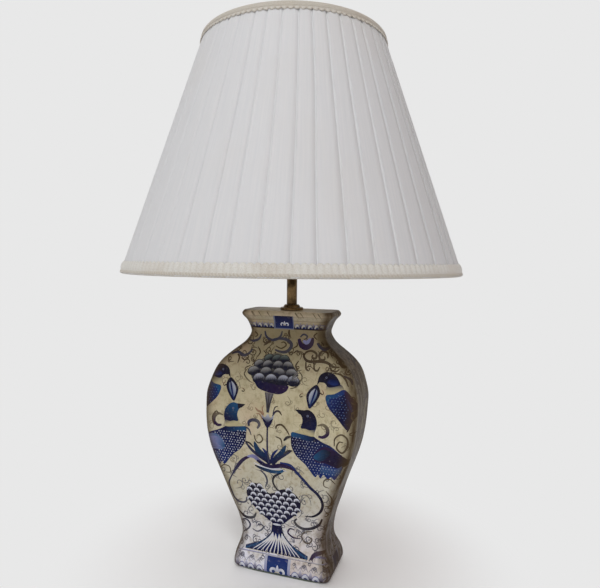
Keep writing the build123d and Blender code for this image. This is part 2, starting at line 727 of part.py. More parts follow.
pieces = {
    "felt_pad": felt_pad(),
    "vase_body": vase_body(),
    "cord_bushing": cord_bushing(),
    "bottom_washer": bottom_washer(),
    "lock_washer": lock_washer(),
    "bottom_nut": bottom_nut(),
    "lamp_pipe": lamp_pipe(),
    "neck_flange": neck_flange(),
    "neck_tube": neck_tube(),
    "harp_saddle": harp_saddle(),
    "socket_cap": socket_cap(),
    "cap_screw": cap_screw(),
    "socket_shell": socket_shell(),
    "paper_liner": paper_liner(),
    "holder_body": holder_body(),
    "terminal_screws": terminal_screws(),
    "screw_shell": screw_shell(),
    "centre_contact": centre_contact(),
    "knob_stem": knob_stem(),
    "switch_knob": switch_knob(),
    "bulb_cap": bulb_cap(),
    "bulb_insulator": bulb_insulator(),
    "bulb_contact": bulb_contact(),
    "bulb_glass": bulb_glass(),
    "filament_stem": filament_stem(),
    "filament": filament(),
    "harp_bow": bow,
    "harp_stud": harp_stud(bow),
    "harp_sleeve_left": harp_sleeve(-1),
    "harp_sleeve_right": harp_sleeve(1),
    "shade_bottom_ring": bottom_ring,
    "shade_top_ring": top_ring,
    "shade_ribs": shade_ribs(both_rings),
    "spider_hub": hub_piece,
    "spider_arms": spider_arms(both_rings, hub_piece),
    "shade_lining": shade_lining(),
    "shade_cover": shade_cover(),
    "bottom_trim": trim_band(shade_bottom, shade_bottom + bottom_trim_height),
    "top_trim": trim_band(shade_top - top_trim_height, shade_top),
    "finial": finial(),
}
for name, piece in pieces.items():
    export_step(piece, f"parts/{name}.step")
print("shade from", round(shade_bottom, 1), "to", round(shade_top, 1), "mm above the table")
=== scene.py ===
import json
from math import cos, pi, radians, sin

import bpy
import numpy as np
from mathutils import Matrix, Vector
from mathutils.geometry import delaunay_2d_cdt


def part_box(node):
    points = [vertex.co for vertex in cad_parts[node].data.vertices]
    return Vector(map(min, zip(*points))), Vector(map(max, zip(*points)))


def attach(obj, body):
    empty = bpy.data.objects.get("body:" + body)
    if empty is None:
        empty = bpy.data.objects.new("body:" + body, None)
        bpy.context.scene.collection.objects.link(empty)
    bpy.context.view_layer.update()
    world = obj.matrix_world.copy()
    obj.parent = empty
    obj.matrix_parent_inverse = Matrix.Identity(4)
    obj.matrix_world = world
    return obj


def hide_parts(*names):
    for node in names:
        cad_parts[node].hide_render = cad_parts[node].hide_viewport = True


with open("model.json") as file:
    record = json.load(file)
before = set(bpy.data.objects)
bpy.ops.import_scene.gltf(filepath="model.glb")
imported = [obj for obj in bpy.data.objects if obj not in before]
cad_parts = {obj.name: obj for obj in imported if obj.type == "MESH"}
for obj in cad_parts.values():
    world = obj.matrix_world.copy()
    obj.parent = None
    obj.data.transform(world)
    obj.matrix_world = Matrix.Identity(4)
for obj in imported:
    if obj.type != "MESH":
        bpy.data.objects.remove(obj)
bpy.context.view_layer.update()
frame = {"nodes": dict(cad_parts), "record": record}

# Looks of a table lamp: hand-painted crackle-glazed jar, antique brass neck, knife-pleated shade with
# braid. Sizes in the drawing parts are millimetres and become metres where the meshes are made.
MM = 0.001
PHOTO_WIDTH = 600                 # pixels


# ---------------------------------------------------------------- small helpers
def srgb(red, green, blue, alpha=1.0):
    """Screen colour of 0 to 255 as the linear colour that the shaders take."""
    def linear(value):
        value /= 255
        return value / 12.92 if value <= 0.04045 else ((value + 0.055) / 1.055) ** 2.4
    return (linear(red), linear(green), linear(blue), alpha)


def shown(name):
    """Lowest and highest corner of a CAD node, in millimetres."""
    low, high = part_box(name)
    return np.array(low) / MM, np.array(high) / MM


def new_object(name, points, faces, smooth=True):
    """Mesh object from points in millimetres."""
    mesh = bpy.data.meshes.new(name)
    mesh.from_pydata([tuple(p) for p in np.asarray(points, float) * MM], [], [tuple(f) for f in faces])
    mesh.validate()
    mesh.polygons.foreach_set("use_smooth", [smooth] * len(mesh.polygons))
    mesh.update()
    piece = bpy.data.objects.new(name, mesh)
    bpy.context.scene.collection.objects.link(piece)
    return piece


def grid_faces(rows, columns, wrap):
    """Quads of a grid of rows x columns points, its columns closed into a ring if wrap is set."""
    faces = []
    for row in range(rows - 1):
        for column in range(columns if wrap else columns - 1):
            following = (column + 1) % columns
            faces.append((row * columns + column, row * columns + following,
                          (row + 1) * columns + following, (row + 1) * columns + column))
    return faces


def finish_piece(piece, body, slot, *nodes):
    """Give a piece its material and body, and hide the CAD nodes that it stands for."""
    piece.data.materials.append(materials[slot])
    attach(piece, body)
    if nodes:
        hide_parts(*nodes)
    return piece


# ---------------------------------------------------------------- materials
class Finish:
    """One node material, with short names for the nodes that it uses."""

    def __init__(self, name, **values):
        self.material = bpy.data.materials.new(name)
        self.material.use_nodes = True
        self.tree = self.material.node_tree
        self.shader = self.tree.nodes["Principled BSDF"]
        for key, value in values.items():
            self.shader.inputs[key.replace("_", " ")].default_value = value

    def set(self, node, key, value):
        if isinstance(value, bpy.types.NodeSocket):
            self.tree.links.new(value, node.inputs[key])
        else:
            node.inputs[key].default_value = value

    def add(self, kind, settings=None, inputs=None):
        node = self.tree.nodes.new(kind)
        for key, value in (settings or {}).items():
            setattr(node, key, value)
        for key, value in (inputs or {}).items():
            self.set(node, key, value)
        return node

    def place(self, stretch=(1, 1, 1)):
        """Place on the piece, in metres, scaled along each axis."""
        where = self.add("ShaderNodeTexCoord").outputs["Object"]
        return self.add("ShaderNodeMapping", None, {"Vector": where, "Scale": stretch}).outputs[0]

    def cloth(self, stretch=(1, 1, 1)):
        """Place on a cloth, in metres across and along it, scaled along each axis."""
        where = self.add("ShaderNodeUVMap", {"uv_map": "cloth"}).outputs[0]
        return self.add("ShaderNodeMapping", None, {"Vector": where, "Scale": stretch}).outputs[0]

    def noise(self, where, scale, detail=3.0, rough=0.5):
        inputs = {"Vector": where, "Scale": scale, "Detail": detail, "Roughness": rough}
        return self.add("ShaderNodeTexNoise", None, inputs).outputs["Fac"]

    def span(self, value, low, high, to_low=0.0, to_high=1.0, smooth=False):
        """Value between low and high, taken to another range."""
        settings = {"interpolation_type": "SMOOTHSTEP" if smooth else "LINEAR"}
        inputs = {"Value": value, "From Min": low, "From Max": high, "To Min": to_low, "To Max": to_high}
        return self.add("ShaderNodeMapRange", settings, inputs).outputs[0]

    def maths(self, operation, first, second=0.0):
        node = self.add("ShaderNodeMath", {"operation": operation})
        self.set(node, 0, first)
        self.set(node, 1, second)
        return node.outputs[0]

    def mix(self, share, first, second, blend="MIX"):
        node = self.add("ShaderNodeMix", {"data_type": "RGBA", "blend_type": blend})
        self.set(node, 0, share)
        self.set(node, 6, first)
        self.set(node, 7, second)
        return node.outputs[2]

    def bump(self, height, distance, strength=1.0, normal=None):
        inputs = {"Height": height, "Distance": distance, "Strength": strength}
        if normal is not None:
            inputs["Normal"] = normal
        return self.add("ShaderNodeBump", None, inputs).outputs[0]

    def use(self, **sockets):
        for key, socket in sockets.items():
            self.tree.links.new(socket, self.shader.inputs[key.replace("_", " ")])
        return self.material


def brushed_metal(name, light, dark, roughness, patina, bump=0.00004):
    """Metal with a cloudy patina, small scratches and uneven gloss."""
    finish = Finish(name, Metallic=1.0)
    cloud = finish.noise(finish.place(), 90.0, 4.0)
    grain = finish.noise(finish.place((1, 1, 0.15)), 900.0, 2.0)
    worn = finish.span(cloud, 0.35, 0.65, 0.0, patina)
    colour = finish.mix(worn, light, dark)
    gloss = finish.span(grain, 0.3, 0.7, roughness - 0.06, roughness + 0.1)
    relief = finish.bump(grain, bump, 0.6)
    return finish.use(Base_Color=colour, Roughness=gloss, Normal=relief)


def moulded(name, light, dark, roughness, grain_scale=1500.0):
    """Moulded plastic or board: fine grain, slightly uneven colour."""
    finish = Finish(name)
    cloud = finish.noise(finish.place(), 60.0, 3.0)
    grain = finish.noise(finish.place(), grain_scale, 2.0)
    gloss = finish.span(grain, 0.3, 0.7, roughness - 0.05, roughness + 0.1)
    relief = finish.bump(grain, 0.00005, 0.5)
    return finish.use(Base_Color=finish.mix(cloud, light, dark), Roughness=gloss, Normal=relief)


def glass(name, tint, roughness, alpha):
    """Thin glass shown by its own alpha, faintly cloudy."""
    finish = Finish(name, Alpha=alpha, IOR=1.5)
    cloud = finish.noise(finish.place(), 40.0, 2.0)
    colour = finish.mix(finish.span(cloud, 0.3, 0.7, 0.0, 0.4), tint, srgb(225, 226, 224))
    gloss = finish.span(cloud, 0.3, 0.7, roughness, roughness + 0.08)
    return finish.use(Base_Color=colour, Roughness=gloss)


def felt_finish():
    finish = Finish("felt", Roughness=0.95, Sheen_Weight=0.3)
    fibre = finish.noise(finish.place(), 1400.0, 4.0, 0.7)
    matting = finish.noise(finish.place(), 160.0, 3.0)
    colour = finish.mix(matting, srgb(58, 70, 58), srgb(84, 96, 82))
    colour = finish.mix(finish.span(fibre, 0.4, 0.7, 0.0, 0.5), colour, srgb(112, 122, 108))
    return finish.use(Base_Color=colour, Normal=finish.bump(fibre, 0.0003, 0.8))


def weave(finish, pitch):
    """Height of a plain weave on the cloth's own plane."""
    turns = 2 * pi / pitch
    across = finish.add("ShaderNodeSeparateXYZ", None, {0: finish.cloth()})
    warp = finish.maths("SINE", finish.maths("MULTIPLY", across.outputs[0], turns))
    weft = finish.maths("SINE", finish.maths("MULTIPLY", across.outputs[1], turns))
    return finish.maths("MULTIPLY", warp, weft)


def voile_finish():
    """Off-white voile: fine slubs along the pleats, a plain weave and a soft sheen."""
    finish = Finish("pleated_fabric", Sheen_Weight=0.1, Sheen_Roughness=0.5)
    slub = finish.noise(finish.cloth((420.0, 14.0, 1.0)), 1.0, 3.0)
    crease = finish.noise(finish.cloth((70.0, 4.0, 1.0)), 1.0, 2.0)
    age = finish.noise(finish.place(), 9.0, 3.0)
    colour = finish.mix(finish.span(slub, 0.3, 0.7), srgb(207, 208, 210), srgb(213, 213, 214))
    colour = finish.mix(finish.span(age, 0.5, 0.75, 0.0, 0.3), colour, srgb(207, 203, 198))
    height = finish.maths("ADD", finish.maths("MULTIPLY", slub, 0.25), crease)
    height = finish.maths("ADD", height, finish.maths("MULTIPLY", weave(finish, 0.0011), 0.1))
    gloss = finish.span(slub, 0.3, 0.7, 0.66, 0.8)
    return finish.use(Base_Color=colour, Roughness=gloss, Normal=finish.bump(height, 0.0003, 0.4))


def lining_finish():
    finish = Finish("lining_fabric", Sheen_Weight=0.2)
    slub = finish.noise(finish.cloth((200.0, 12.0, 1.0)), 1.0, 3.0)
    colour = finish.mix(finish.span(slub, 0.3, 0.7), srgb(222, 218, 210), srgb(232, 229, 222))
    height = finish.maths("ADD", slub, finish.maths("MULTIPLY", weave(finish, 0.0014), 0.3))
    gloss = finish.span(slub, 0.3, 0.7, 0.55, 0.7)
    return finish.use(Base_Color=colour, Roughness=gloss, Normal=finish.bump(height, 0.0002, 0.5))


def braid_finish():
    """Braid of off-white and beige yarn; the tone attribute runs from 0 (white) to 1 (ochre)."""
    finish = Finish("braid", Sheen_Weight=0.25)
    tone = finish.add("ShaderNodeAttribute", {"attribute_name": "tone"}).outputs["Fac"]
    yarn = finish.noise(finish.cloth((900.0, 900.0, 1.0)), 1.0, 3.0, 0.6)
    soil = finish.noise(finish.place(), 30.0, 4.0)
    colour = finish.mix(tone, srgb(217, 216, 211), srgb(168, 156, 137))
    colour = finish.mix(finish.span(yarn, 0.45, 0.75, 0.0, 0.35), colour, srgb(150, 136, 112))
    colour = finish.mix(finish.span(soil, 0.5, 0.8, 0.0, 0.3), colour, srgb(172, 152, 128))
    gloss = finish.span(yarn, 0.3, 0.7, 0.7, 0.9)
    return finish.use(Base_Color=colour, Roughness=gloss, Normal=finish.bump(yarn, 0.0003, 0.7))


def glaze_finish():
    """Ivory crackle glaze over brushwork: the paint attribute holds the brushwork's colour and cover."""
    finish = Finish("painted_glaze", Coat_Weight=0.06, Coat_Roughness=0.2, Specular_IOR_Level=0.02)
    where = finish.place()
    height = finish.add("ShaderNodeSeparateXYZ", None, {0: where}).outputs[2]
    stain_and_side_shade = finish.add("ShaderNodeAttribute", {"attribute_name": "stain_and_side_shade"}).outputs["Fac"]
    paint = finish.add("ShaderNodeAttribute", {"attribute_name": "paint"})
    ground = finish.mix(finish.span(height, 0.015, 0.1), srgb(226, 226, 236), srgb(194, 191, 178))
    ground = finish.mix(finish.span(height, 0.1, 0.2), ground, srgb(204, 195, 164))
    # Painted shadow of the lampshade: the ground turns darker and browner from the shoulder up to the neck,
    # and the lip band above it is painted lighter again.
    painted_lampshade_shadow = finish.span(height, 0.225, 0.3, 0.0, 0.85, True)
    ground = finish.mix(painted_lampshade_shadow, ground, srgb(130, 118, 88))
    ground = finish.mix(finish.span(height, 0.303, 0.311, 0.0, 0.85), ground, srgb(208, 194, 168))
    cloud = finish.noise(where, 26.0, 5.0, 0.6)
    ground = finish.mix(finish.span(cloud, 0.42, 0.72, 0.0, 0.5), ground, srgb(172, 160, 122))
    blush = finish.noise(finish.place((1, 1, 0.6)), 17.0, 3.0)
    ground = finish.mix(finish.span(blush, 0.52, 0.72, 0.0, 0.4), ground, srgb(196, 164, 142))
    fleck = finish.noise(where, 210.0, 3.0, 0.6)
    ground = finish.mix(finish.span(fleck, 0.5, 0.7, 0.0, 0.45), ground, srgb(134, 116, 86))
    # Brown streaks from the stain attribute: a stain, and on the narrow sides painted shade as well.
    streak = finish.noise(finish.place((1, 1, 0.1)), 130.0, 4.0, 0.65)
    dirt_and_side_shade = finish.maths("MULTIPLY", stain_and_side_shade, finish.span(streak, 0.3, 0.62, 0.7, 1.0))
    wobble = finish.add("ShaderNodeTexNoise", None, {"Vector": where, "Scale": 60.0, "Detail": 2.0})
    bent = finish.add("ShaderNodeVectorMath", {"operation": "MULTIPLY_ADD"})
    finish.set(bent, 0, wobble.outputs["Color"])
    finish.set(bent, 1, (0.008, 0.008, 0.008))
    finish.set(bent, 2, where)
    cracks = []
    for scale, width in ((62.0, 0.018), (150.0, 0.03)):
        settings = {"feature": "DISTANCE_TO_EDGE"}
        edge = finish.add("ShaderNodeTexVoronoi", settings, {"Vector": bent.outputs[0], "Scale": scale})
        cracks.append(finish.span(edge.outputs["Distance"], 0.0, width, 1.0, 0.0, True))
    seen = finish.span(finish.noise(where, 40.0, 2.0), 0.35, 0.65, 0.25, 0.85)
    crackle = finish.maths("MAXIMUM", cracks[0], finish.maths("MULTIPLY", cracks[1], 0.5))
    crackle = finish.maths("MULTIPLY", crackle, seen)
    wash = finish.noise(where, 260.0, 3.0)
    pooled = finish.mix(finish.span(wash, 0.35, 0.7, 0.0, 0.07), paint.outputs["Color"], srgb(92, 98, 132))
    worn = finish.span(finish.noise(where, 330.0, 3.0), 0.26, 0.38, 0.84, 1.0)
    cover = finish.maths("MULTIPLY", paint.outputs["Alpha"], worn)
    colour = finish.mix(cover, ground, pooled)
    # Brown of the stain, and of the painted shade on the narrow sides.
    colour = finish.mix(dirt_and_side_shade, colour, srgb(72, 56, 36))
    colour = finish.mix(finish.maths("MULTIPLY", crackle, 0.4), colour, srgb(74, 62, 42))
    gloss = finish.span(cloud, 0.3, 0.7, 0.3, 0.46)
    relief = finish.maths("SUBTRACT", finish.maths("MULTIPLY", wash, 0.25), crackle)
    return finish.use(Base_Color=colour, Roughness=gloss, Normal=finish.bump(relief, 0.00006, 0.5))


materials = {
    "felt": felt_finish(),
    "painted_glaze": glaze_finish(),
    "black_plastic": moulded("black_plastic", srgb(30, 30, 31), srgb(42, 41, 40), 0.45),
    "zinc_steel": brushed_metal("zinc_steel", srgb(196, 198, 200), srgb(150, 151, 148), 0.32, 0.6),
    "antique_brass": brushed_metal("antique_brass", srgb(116, 94, 64), srgb(42, 30, 16), 0.3, 0.95),
    "bright_brass": brushed_metal("bright_brass", srgb(226, 196, 130), srgb(190, 154, 88), 0.2, 0.5),
    "liner_board": moulded("liner_board", srgb(172, 150, 112), srgb(150, 128, 92), 0.8, 500.0),
    "moulded_insulator": moulded("moulded_insulator", srgb(62, 46, 38), srgb(46, 34, 28), 0.3),
    "thin_aluminium": brushed_metal("thin_aluminium", srgb(214, 215, 216), srgb(186, 188, 190), 0.25, 0.4),
    "black_glass": moulded("black_glass", srgb(24, 24, 26), srgb(34, 33, 36), 0.12),
    "solder": brushed_metal("solder", srgb(190, 190, 188), srgb(150, 150, 146), 0.45, 0.8),
    "bulb_glass": glass("bulb_glass", srgb(240, 240, 236), 0.3, 0.55),
    "clear_glass": glass("clear_glass", srgb(228, 234, 232), 0.05, 0.4),
    "filament_wire": brushed_metal("filament_wire", srgb(120, 120, 122), srgb(84, 84, 88), 0.4, 0.6),
    "coated_wire": moulded("coated_wire", srgb(226, 224, 218), srgb(212, 208, 200), 0.4),
    "lining_fabric": lining_finish(),
    "pleated_fabric": voile_finish(),
    "braid": braid_finish(),
}
for part in frame["record"]["subparts"]:
    carried = frame["nodes"][part["node"]].data
    carried.materials.clear()
    carried.materials.append(materials[part["material_slot"]])


# ---------------------------------------------------------------- jar: its surface
CORNER = 9.0                      # radius of the jar's upright corners
CORNER_ARC = CORNER * pi / 2
jar_low, jar_high = shown("vase_body")
JAR_BOTTOM, JAR_TOP = jar_low[2], jar_high[2]
FACE_HALF = (jar_high[0] - jar_low[0]) / 2 - CORNER
SIDE_HALF = 36.0 - CORNER         # half of a side face at the belly, without its corners
PROFILE_STEP = 1.0


def jar_profile():
    """Half width, half depth and sideways centre of the jar every millimetre up, cut from its node."""
    mesh = frame["nodes"]["vase_body"].data
    points = np.empty(len(mesh.vertices) * 3)
    mesh.vertices.foreach_get("co", points)
    points = points.reshape(-1, 3) / MM
    ends = np.empty(len(mesh.edges) * 2, int)
    mesh.edges.foreach_get("vertices", ends)
    low, high = points[ends.reshape(-1, 2)[:, 0]], points[ends.reshape(-1, 2)[:, 1]]
    heights = np.arange(JAR_BOTTOM, JAR_TOP + PROFILE_STEP / 2, PROFILE_STEP)
    rows = []
    for height in np.clip(heights, JAR_BOTTOM + 0.02, JAR_TOP - 0.02):
        crosses = (low[:, 2] <= height) != (high[:, 2] <= height)
        start, end = low[crosses], high[crosses]
        share = ((height - start[:, 2]) / (end[:, 2] - start[:, 2]))[:, None]
        cut = start + share * (end - start)
        across = cut[:, 0]
        rows.append(((across.max() - across.min()) / 2, cut[:, 1].max(), (across.max() + across.min()) / 2))
    rows = np.array(rows)
    for _ in range(3):
        rows[1:-1] = (rows[:-2] + 2 * rows[1:-1] + rows[2:]) / 4
    return heights, rows


profile_heights, profile_rows = jar_profile()


def half_width(height):
    return np.interp(height, profile_heights, profile_rows[:, 0])


def half_depth(height):
    return np.interp(height, profile_heights, profile_rows[:, 1])


def centre_at(height):
    return np.interp(height, profile_heights, profile_rows[:, 2])


# The skin is drawn on a flat strip that runs once round the jar, left to right as it is seen from
# outside: half the back left corner, left side, corner, front, corner, right side, corner, back and
# the other half of the first corner. SEAMS holds where each stretch of the strip starts.
STRETCHES = [CORNER_ARC / 2, 2 * SIDE_HALF, CORNER_ARC, 2 * FACE_HALF, CORNER_ARC, 2 * SIDE_HALF,
             CORNER_ARC, 2 * FACE_HALF, CORNER_ARC / 2]
SEAMS = np.concatenate([[0.0], np.cumsum(STRETCHES)])
STRIP = SEAMS[-1]
MIDDLES = {"left": (SEAMS[1] + SEAMS[2]) / 2, "front": (SEAMS[3] + SEAMS[4]) / 2,
           "right": (SEAMS[5] + SEAMS[6]) / 2, "back": (SEAMS[7] + SEAMS[8]) / 2}


def jar_surface(strip, height):
    """Points of the jar's outside for places on the strip."""
    flat_x, flat_y = half_width(height) - CORNER, half_depth(height) - CORNER
    stretch = np.clip(np.searchsorted(SEAMS, strip, side="right") - 1, 0, len(STRETCHES) - 1)
    share = (strip - SEAMS[stretch]) / np.array(STRETCHES)[stretch]
    x, y = np.zeros_like(strip), np.zeros_like(strip)
    quarter = pi / 2
    corners = {0: (-1, 1, 1.5 * quarter, 0.5 * quarter), 2: (-1, -1, 2 * quarter, quarter),
               4: (1, -1, 3 * quarter, quarter), 6: (1, 1, 0.0, quarter),
               8: (-1, 1, quarter, 0.5 * quarter)}
    for number, (side_x, side_y, start, sweep) in corners.items():
        here = stretch == number
        angle = start + share[here] * sweep
        x[here] = side_x * flat_x[here] + CORNER * np.cos(angle)
        y[here] = side_y * flat_y[here] + CORNER * np.sin(angle)
    for number, direction in ((3, 1), (7, -1)):
        here = stretch == number
        x[here] = direction * flat_x[here] * (2 * share[here] - 1)
        y[here] = -direction * (flat_y[here] + CORNER)
    for number, direction in ((5, 1), (1, -1)):
        here = stretch == number
        x[here] = direction * (flat_x[here] + CORNER)
        y[here] = direction * flat_y[here] * (2 * share[here] - 1)
    return np.stack([x + centre_at(height), y, height], -1)


def jar_normals(strip, height):
    """Outward normals of the surface, from small steps across and up it."""
    step = 0.6
    across = jar_surface((strip + step) % STRIP, height) - jar_surface((strip - step) % STRIP, height)
    above = jar_surface(strip, np.minimum(height + step, JAR_TOP))
    below = jar_surface(strip, np.maximum(height - step, JAR_BOTTOM))
    normal = np.cross(across, above - below)
    return normal / np.linalg.norm(normal, axis=1)[:, None]


PAINT_BOW = 5.0                   # the painting's middle line bows less than the clay does
BOW_LOW, BOW_HIGH = 19.2, 262.4


def painted_middle(height):
    """Sideways place of the painting's middle line."""
    share = np.clip((height - BOW_LOW) / (BOW_HIGH - BOW_LOW), 0, 1)
    return -PAINT_BOW * np.sin(pi * share) ** 2


def on_strip(face, points):
    """Places on the strip for points of a face: mm across from its middle line, and height."""
    points = np.asarray(points, float)
    across, height = points[:, 0], np.clip(points[:, 1], JAR_BOTTOM, JAR_TOP)
    broad = face in ("front", "back")
    if broad:
        shift = painted_middle(height) - centre_at(height)
        across = across + (shift if face == "front" else -shift)
    flat = (half_width(height) if broad else half_depth(height)) - CORNER
    nominal = FACE_HALF if broad else SIDE_HALF
    beyond = np.clip((np.abs(across) - flat) / CORNER, 0.0, 0.95)
    reach = np.minimum(np.abs(across) / flat, 1.0) * nominal + CORNER * np.arcsin(beyond)
    return np.stack([MIDDLES[face] + np.sign(across) * reach, height], -1)


# ---------------------------------------------------------------- jar: brush strokes
NAVY, INK, COBALT = srgb(16, 19, 56), srgb(26, 24, 38), srgb(30, 48, 106)
TEAL, PLUM, LILAC = srgb(30, 76, 116), srgb(44, 26, 62), srgb(140, 142, 188)
MIST, CREAM, SAGE = srgb(178, 182, 196), srgb(204, 198, 172), srgb(106, 118, 112)
LINE, SLATE, STEEL = srgb(72, 58, 42), srgb(54, 56, 78), srgb(84, 108, 148)
RUST, SPARK, SHADE = srgb(142, 102, 78), srgb(212, 214, 224), srgb(24, 26, 42)
FADED_STEEL, DIM_TEAL, ASH = srgb(112, 118, 142), srgb(48, 60, 70), srgb(112, 108, 112)
DEEP_TEAL, PANEL_BLUE = srgb(28, 60, 92), srgb(36, 64, 118)
PALE_ASH, PALE_STEEL, WARM = srgb(152, 152, 152), srgb(150, 155, 175), srgb(186, 176, 138)


def faded(colour, cover):
    return (*colour[:3], cover)


BRUSH = 1.25                      # strokes, but not scrolls, are laid this much wider than their number


class Painting:
    """Flat shapes in the order they are painted, each with a colour that may run into a second one."""

    def __init__(self):
        self.shapes = []

    def fill(self, outline, colour, second=None, start=(0, 0), end=(0, 1)):
        self.shapes.append((np.asarray(outline, float), colour, second or colour, start, end))

    def stroke(self, points, width, colour, second=None, start_share=0.3, end_share=0.15):
        """Brush stroke along a smooth line, thinner towards its ends."""
        line = smooth_line(points)
        outline = brush_outline(line, width * BRUSH, start_share, end_share)
        self.fill(outline, colour, second, line[0], line[-1])

    def scroll(self, at, heading, length, turn, width, colour, second=None):
        """A line that curls tighter and tighter and ends in a small drop."""
        line = scroll_line(at, heading, length, turn)
        self.fill(brush_outline(line, width, 0.35, 0.5), colour, second, line[0], line[-1])
        self.fill(oval(line[-1], width * 0.9, width * 0.8, count=6), second or colour)

    def moved(self, change):
        """A copy of the shapes with each outline put through a function."""
        copy = Painting()
        for outline, colour, second, start, end in self.shapes:
            ends = change(np.array([start, end], float))
            copy.shapes.append((change(outline), colour, second, ends[0], ends[1]))
        return copy

    def take(self, other):
        self.shapes += other.shapes


def smooth_line(points, steps=5, closed=False):
    """Catmull-Rom curve through the points."""
    points = np.asarray(points, float)
    if closed:
        around = np.concatenate([points[-1:], points, points[:2]])
    else:
        around = np.concatenate([2 * points[:1] - points[1:2], points, 2 * points[-1:] - points[-2:-1]])
    share = (np.arange(steps) / steps)[:, None]
    curve = []
    for before, first, second, after in zip(around, around[1:], around[2:], around[3:]):
        curve.append(0.5 * (2 * first + (second - before) * share
                            + (2 * before - 5 * first + 4 * second - after) * share ** 2
                            + (3 * first - before - 3 * second + after) * share ** 3))
    curve = np.concatenate(curve)
    return curve if closed else np.concatenate([curve, points[-1:]])


def blob(points, steps=4):
    return smooth_line(points, steps, closed=True)


def oval(at, radius_x, radius_z, turn=0.0, count=10):
    angle = np.linspace(0, 2 * pi, count, endpoint=False)
    x, z = radius_x * np.cos(angle), radius_z * np.sin(angle)
    lean = radians(turn)
    return np.stack([at[0] + x * cos(lean) - z * sin(lean), at[1] + x * sin(lean) + z * cos(lean)], -1)


def dome(at, radius_x, rise, sag=0.25, count=9):
    """Rounded petal: a half oval above its base, and a shallow one below."""
    angle = np.linspace(0, pi, count)
    top = np.stack([at[0] + radius_x * np.cos(angle), at[1] + rise * np.sin(angle)], -1)
    low = np.stack([at[0] - radius_x * np.cos(angle), at[1] - sag * rise * np.sin(angle)], -1)
    return np.concatenate([top, low[1:-1]])


def bar(left, right, bottom, top):
    return np.array([(left, bottom), (right, bottom), (right, top), (left, top)], float)


def brush_outline(line, width, start_share, end_share):
    """Outline round a line: full width in the middle, a share of it at each end."""
    step = np.gradient(line, axis=0)
    step /= np.linalg.norm(step, axis=1)[:, None] + 1e-9
    side = np.stack([-step[:, 1], step[:, 0]], -1)
    place = np.linspace(0, 1, len(line))
    swell = np.sin(pi * place) ** 0.7
    ends = start_share * (1 - place) + end_share * place
    half = (width / 2 * (ends + (1 - ends) * swell))[:, None]
    return np.concatenate([line - side * half, (line + side * half)[::-1]])


def scroll_line(at, heading, length, turn, count=12):
    place = np.linspace(0, 1, count)
    angle = radians(heading) + radians(turn) * place ** 1.7
    step = length / (count - 1) * (1.15 - 0.3 * place)
    x = at[0] + np.concatenate([[0], np.cumsum(step[:-1] * np.cos(angle[:-1]))])
    z = at[1] + np.concatenate([[0], np.cumsum(step[:-1] * np.sin(angle[:-1]))])
    return np.stack([x, z], -1)


def inside(points, outline):
    """True for the points that lie inside a closed outline."""
    hit = np.zeros(len(points), bool)
    x, z = points[:, 0], points[:, 1]
    for (x0, z0), (x1, z1) in zip(outline, np.roll(outline, -1, axis=0)):
        if z0 == z1:
            continue
        spans = (z0 > z) != (z1 > z)
        hit ^= spans & (x < (x1 - x0) * (z - z0) / (z1 - z0) + x0)
    return hit


def mirrored(painting, axis):
    """The painting seen in a mirror that stands at axis."""
    return painting.moved(lambda points: np.stack([2 * axis - points[:, 0], points[:, 1]], -1))


# ---------------------------------------------------------------- jar: motifs
random = np.random.default_rng(41)


def curl_field(area, pitch, length, width, colour, skip=0.0):
    """Thin curling tendrils, one near each place of a staggered lattice."""
    left, right, bottom, top = area
    art = Painting()
    row_number = 0
    height = bottom
    while height < top:
        across = left + (row_number % 2) * pitch / 2
        while across < right:
            nudge = random.uniform(-0.25, 0.25, 2) * pitch
            heading, hand = random.uniform(0, 360), random.choice([-1, 1])
            turn, reach = hand * random.uniform(300, 460), length * random.uniform(0.75, 1.2)
            if random.uniform() >= skip:
                at = (across + nudge[0], height + nudge[1])
                art.scroll(at, heading, reach, turn, width, colour)
                side_at = scroll_line(at, heading, reach, turn)[5]
                art.scroll(side_at, heading + hand * -60, reach * 0.4, -turn * 0.8, width * 0.75, colour)
            across += pitch
        height += pitch * 0.8
        row_number += 1
    return art


def fleur(at, size):
    """Three-lobed lily: an upright spear between two curls."""
    x, z = at
    art = Painting()
    art.fill(blob([(x, z + size), (x + 0.24 * size, z + 0.35 * size), (x + 0.1 * size, z - 0.1 * size),
                   (x, z - 0.45 * size), (x - 0.1 * size, z - 0.1 * size),
                   (x - 0.24 * size, z + 0.35 * size)]),
             SPARK, MIST, (x, z + size), (x, z - 0.4 * size))
    for side in (-1, 1):
        art.stroke([(x + side * 0.12 * size, z - 0.2 * size), (x + side * 0.42 * size, z + 0.32 * size),
                    (x + side * 0.95 * size, z + 0.3 * size), (x + side * 1.15 * size, z - 0.12 * size),
                    (x + side * 0.9 * size, z - 0.42 * size)], size * 0.34, MIST, SPARK, 0.5, 0.35)
    art.stroke([(x - 0.5 * size, z - 0.28 * size), (x, z - 0.16 * size), (x + 0.5 * size, z - 0.28 * size)],
               size * 0.2, CREAM)
    return art


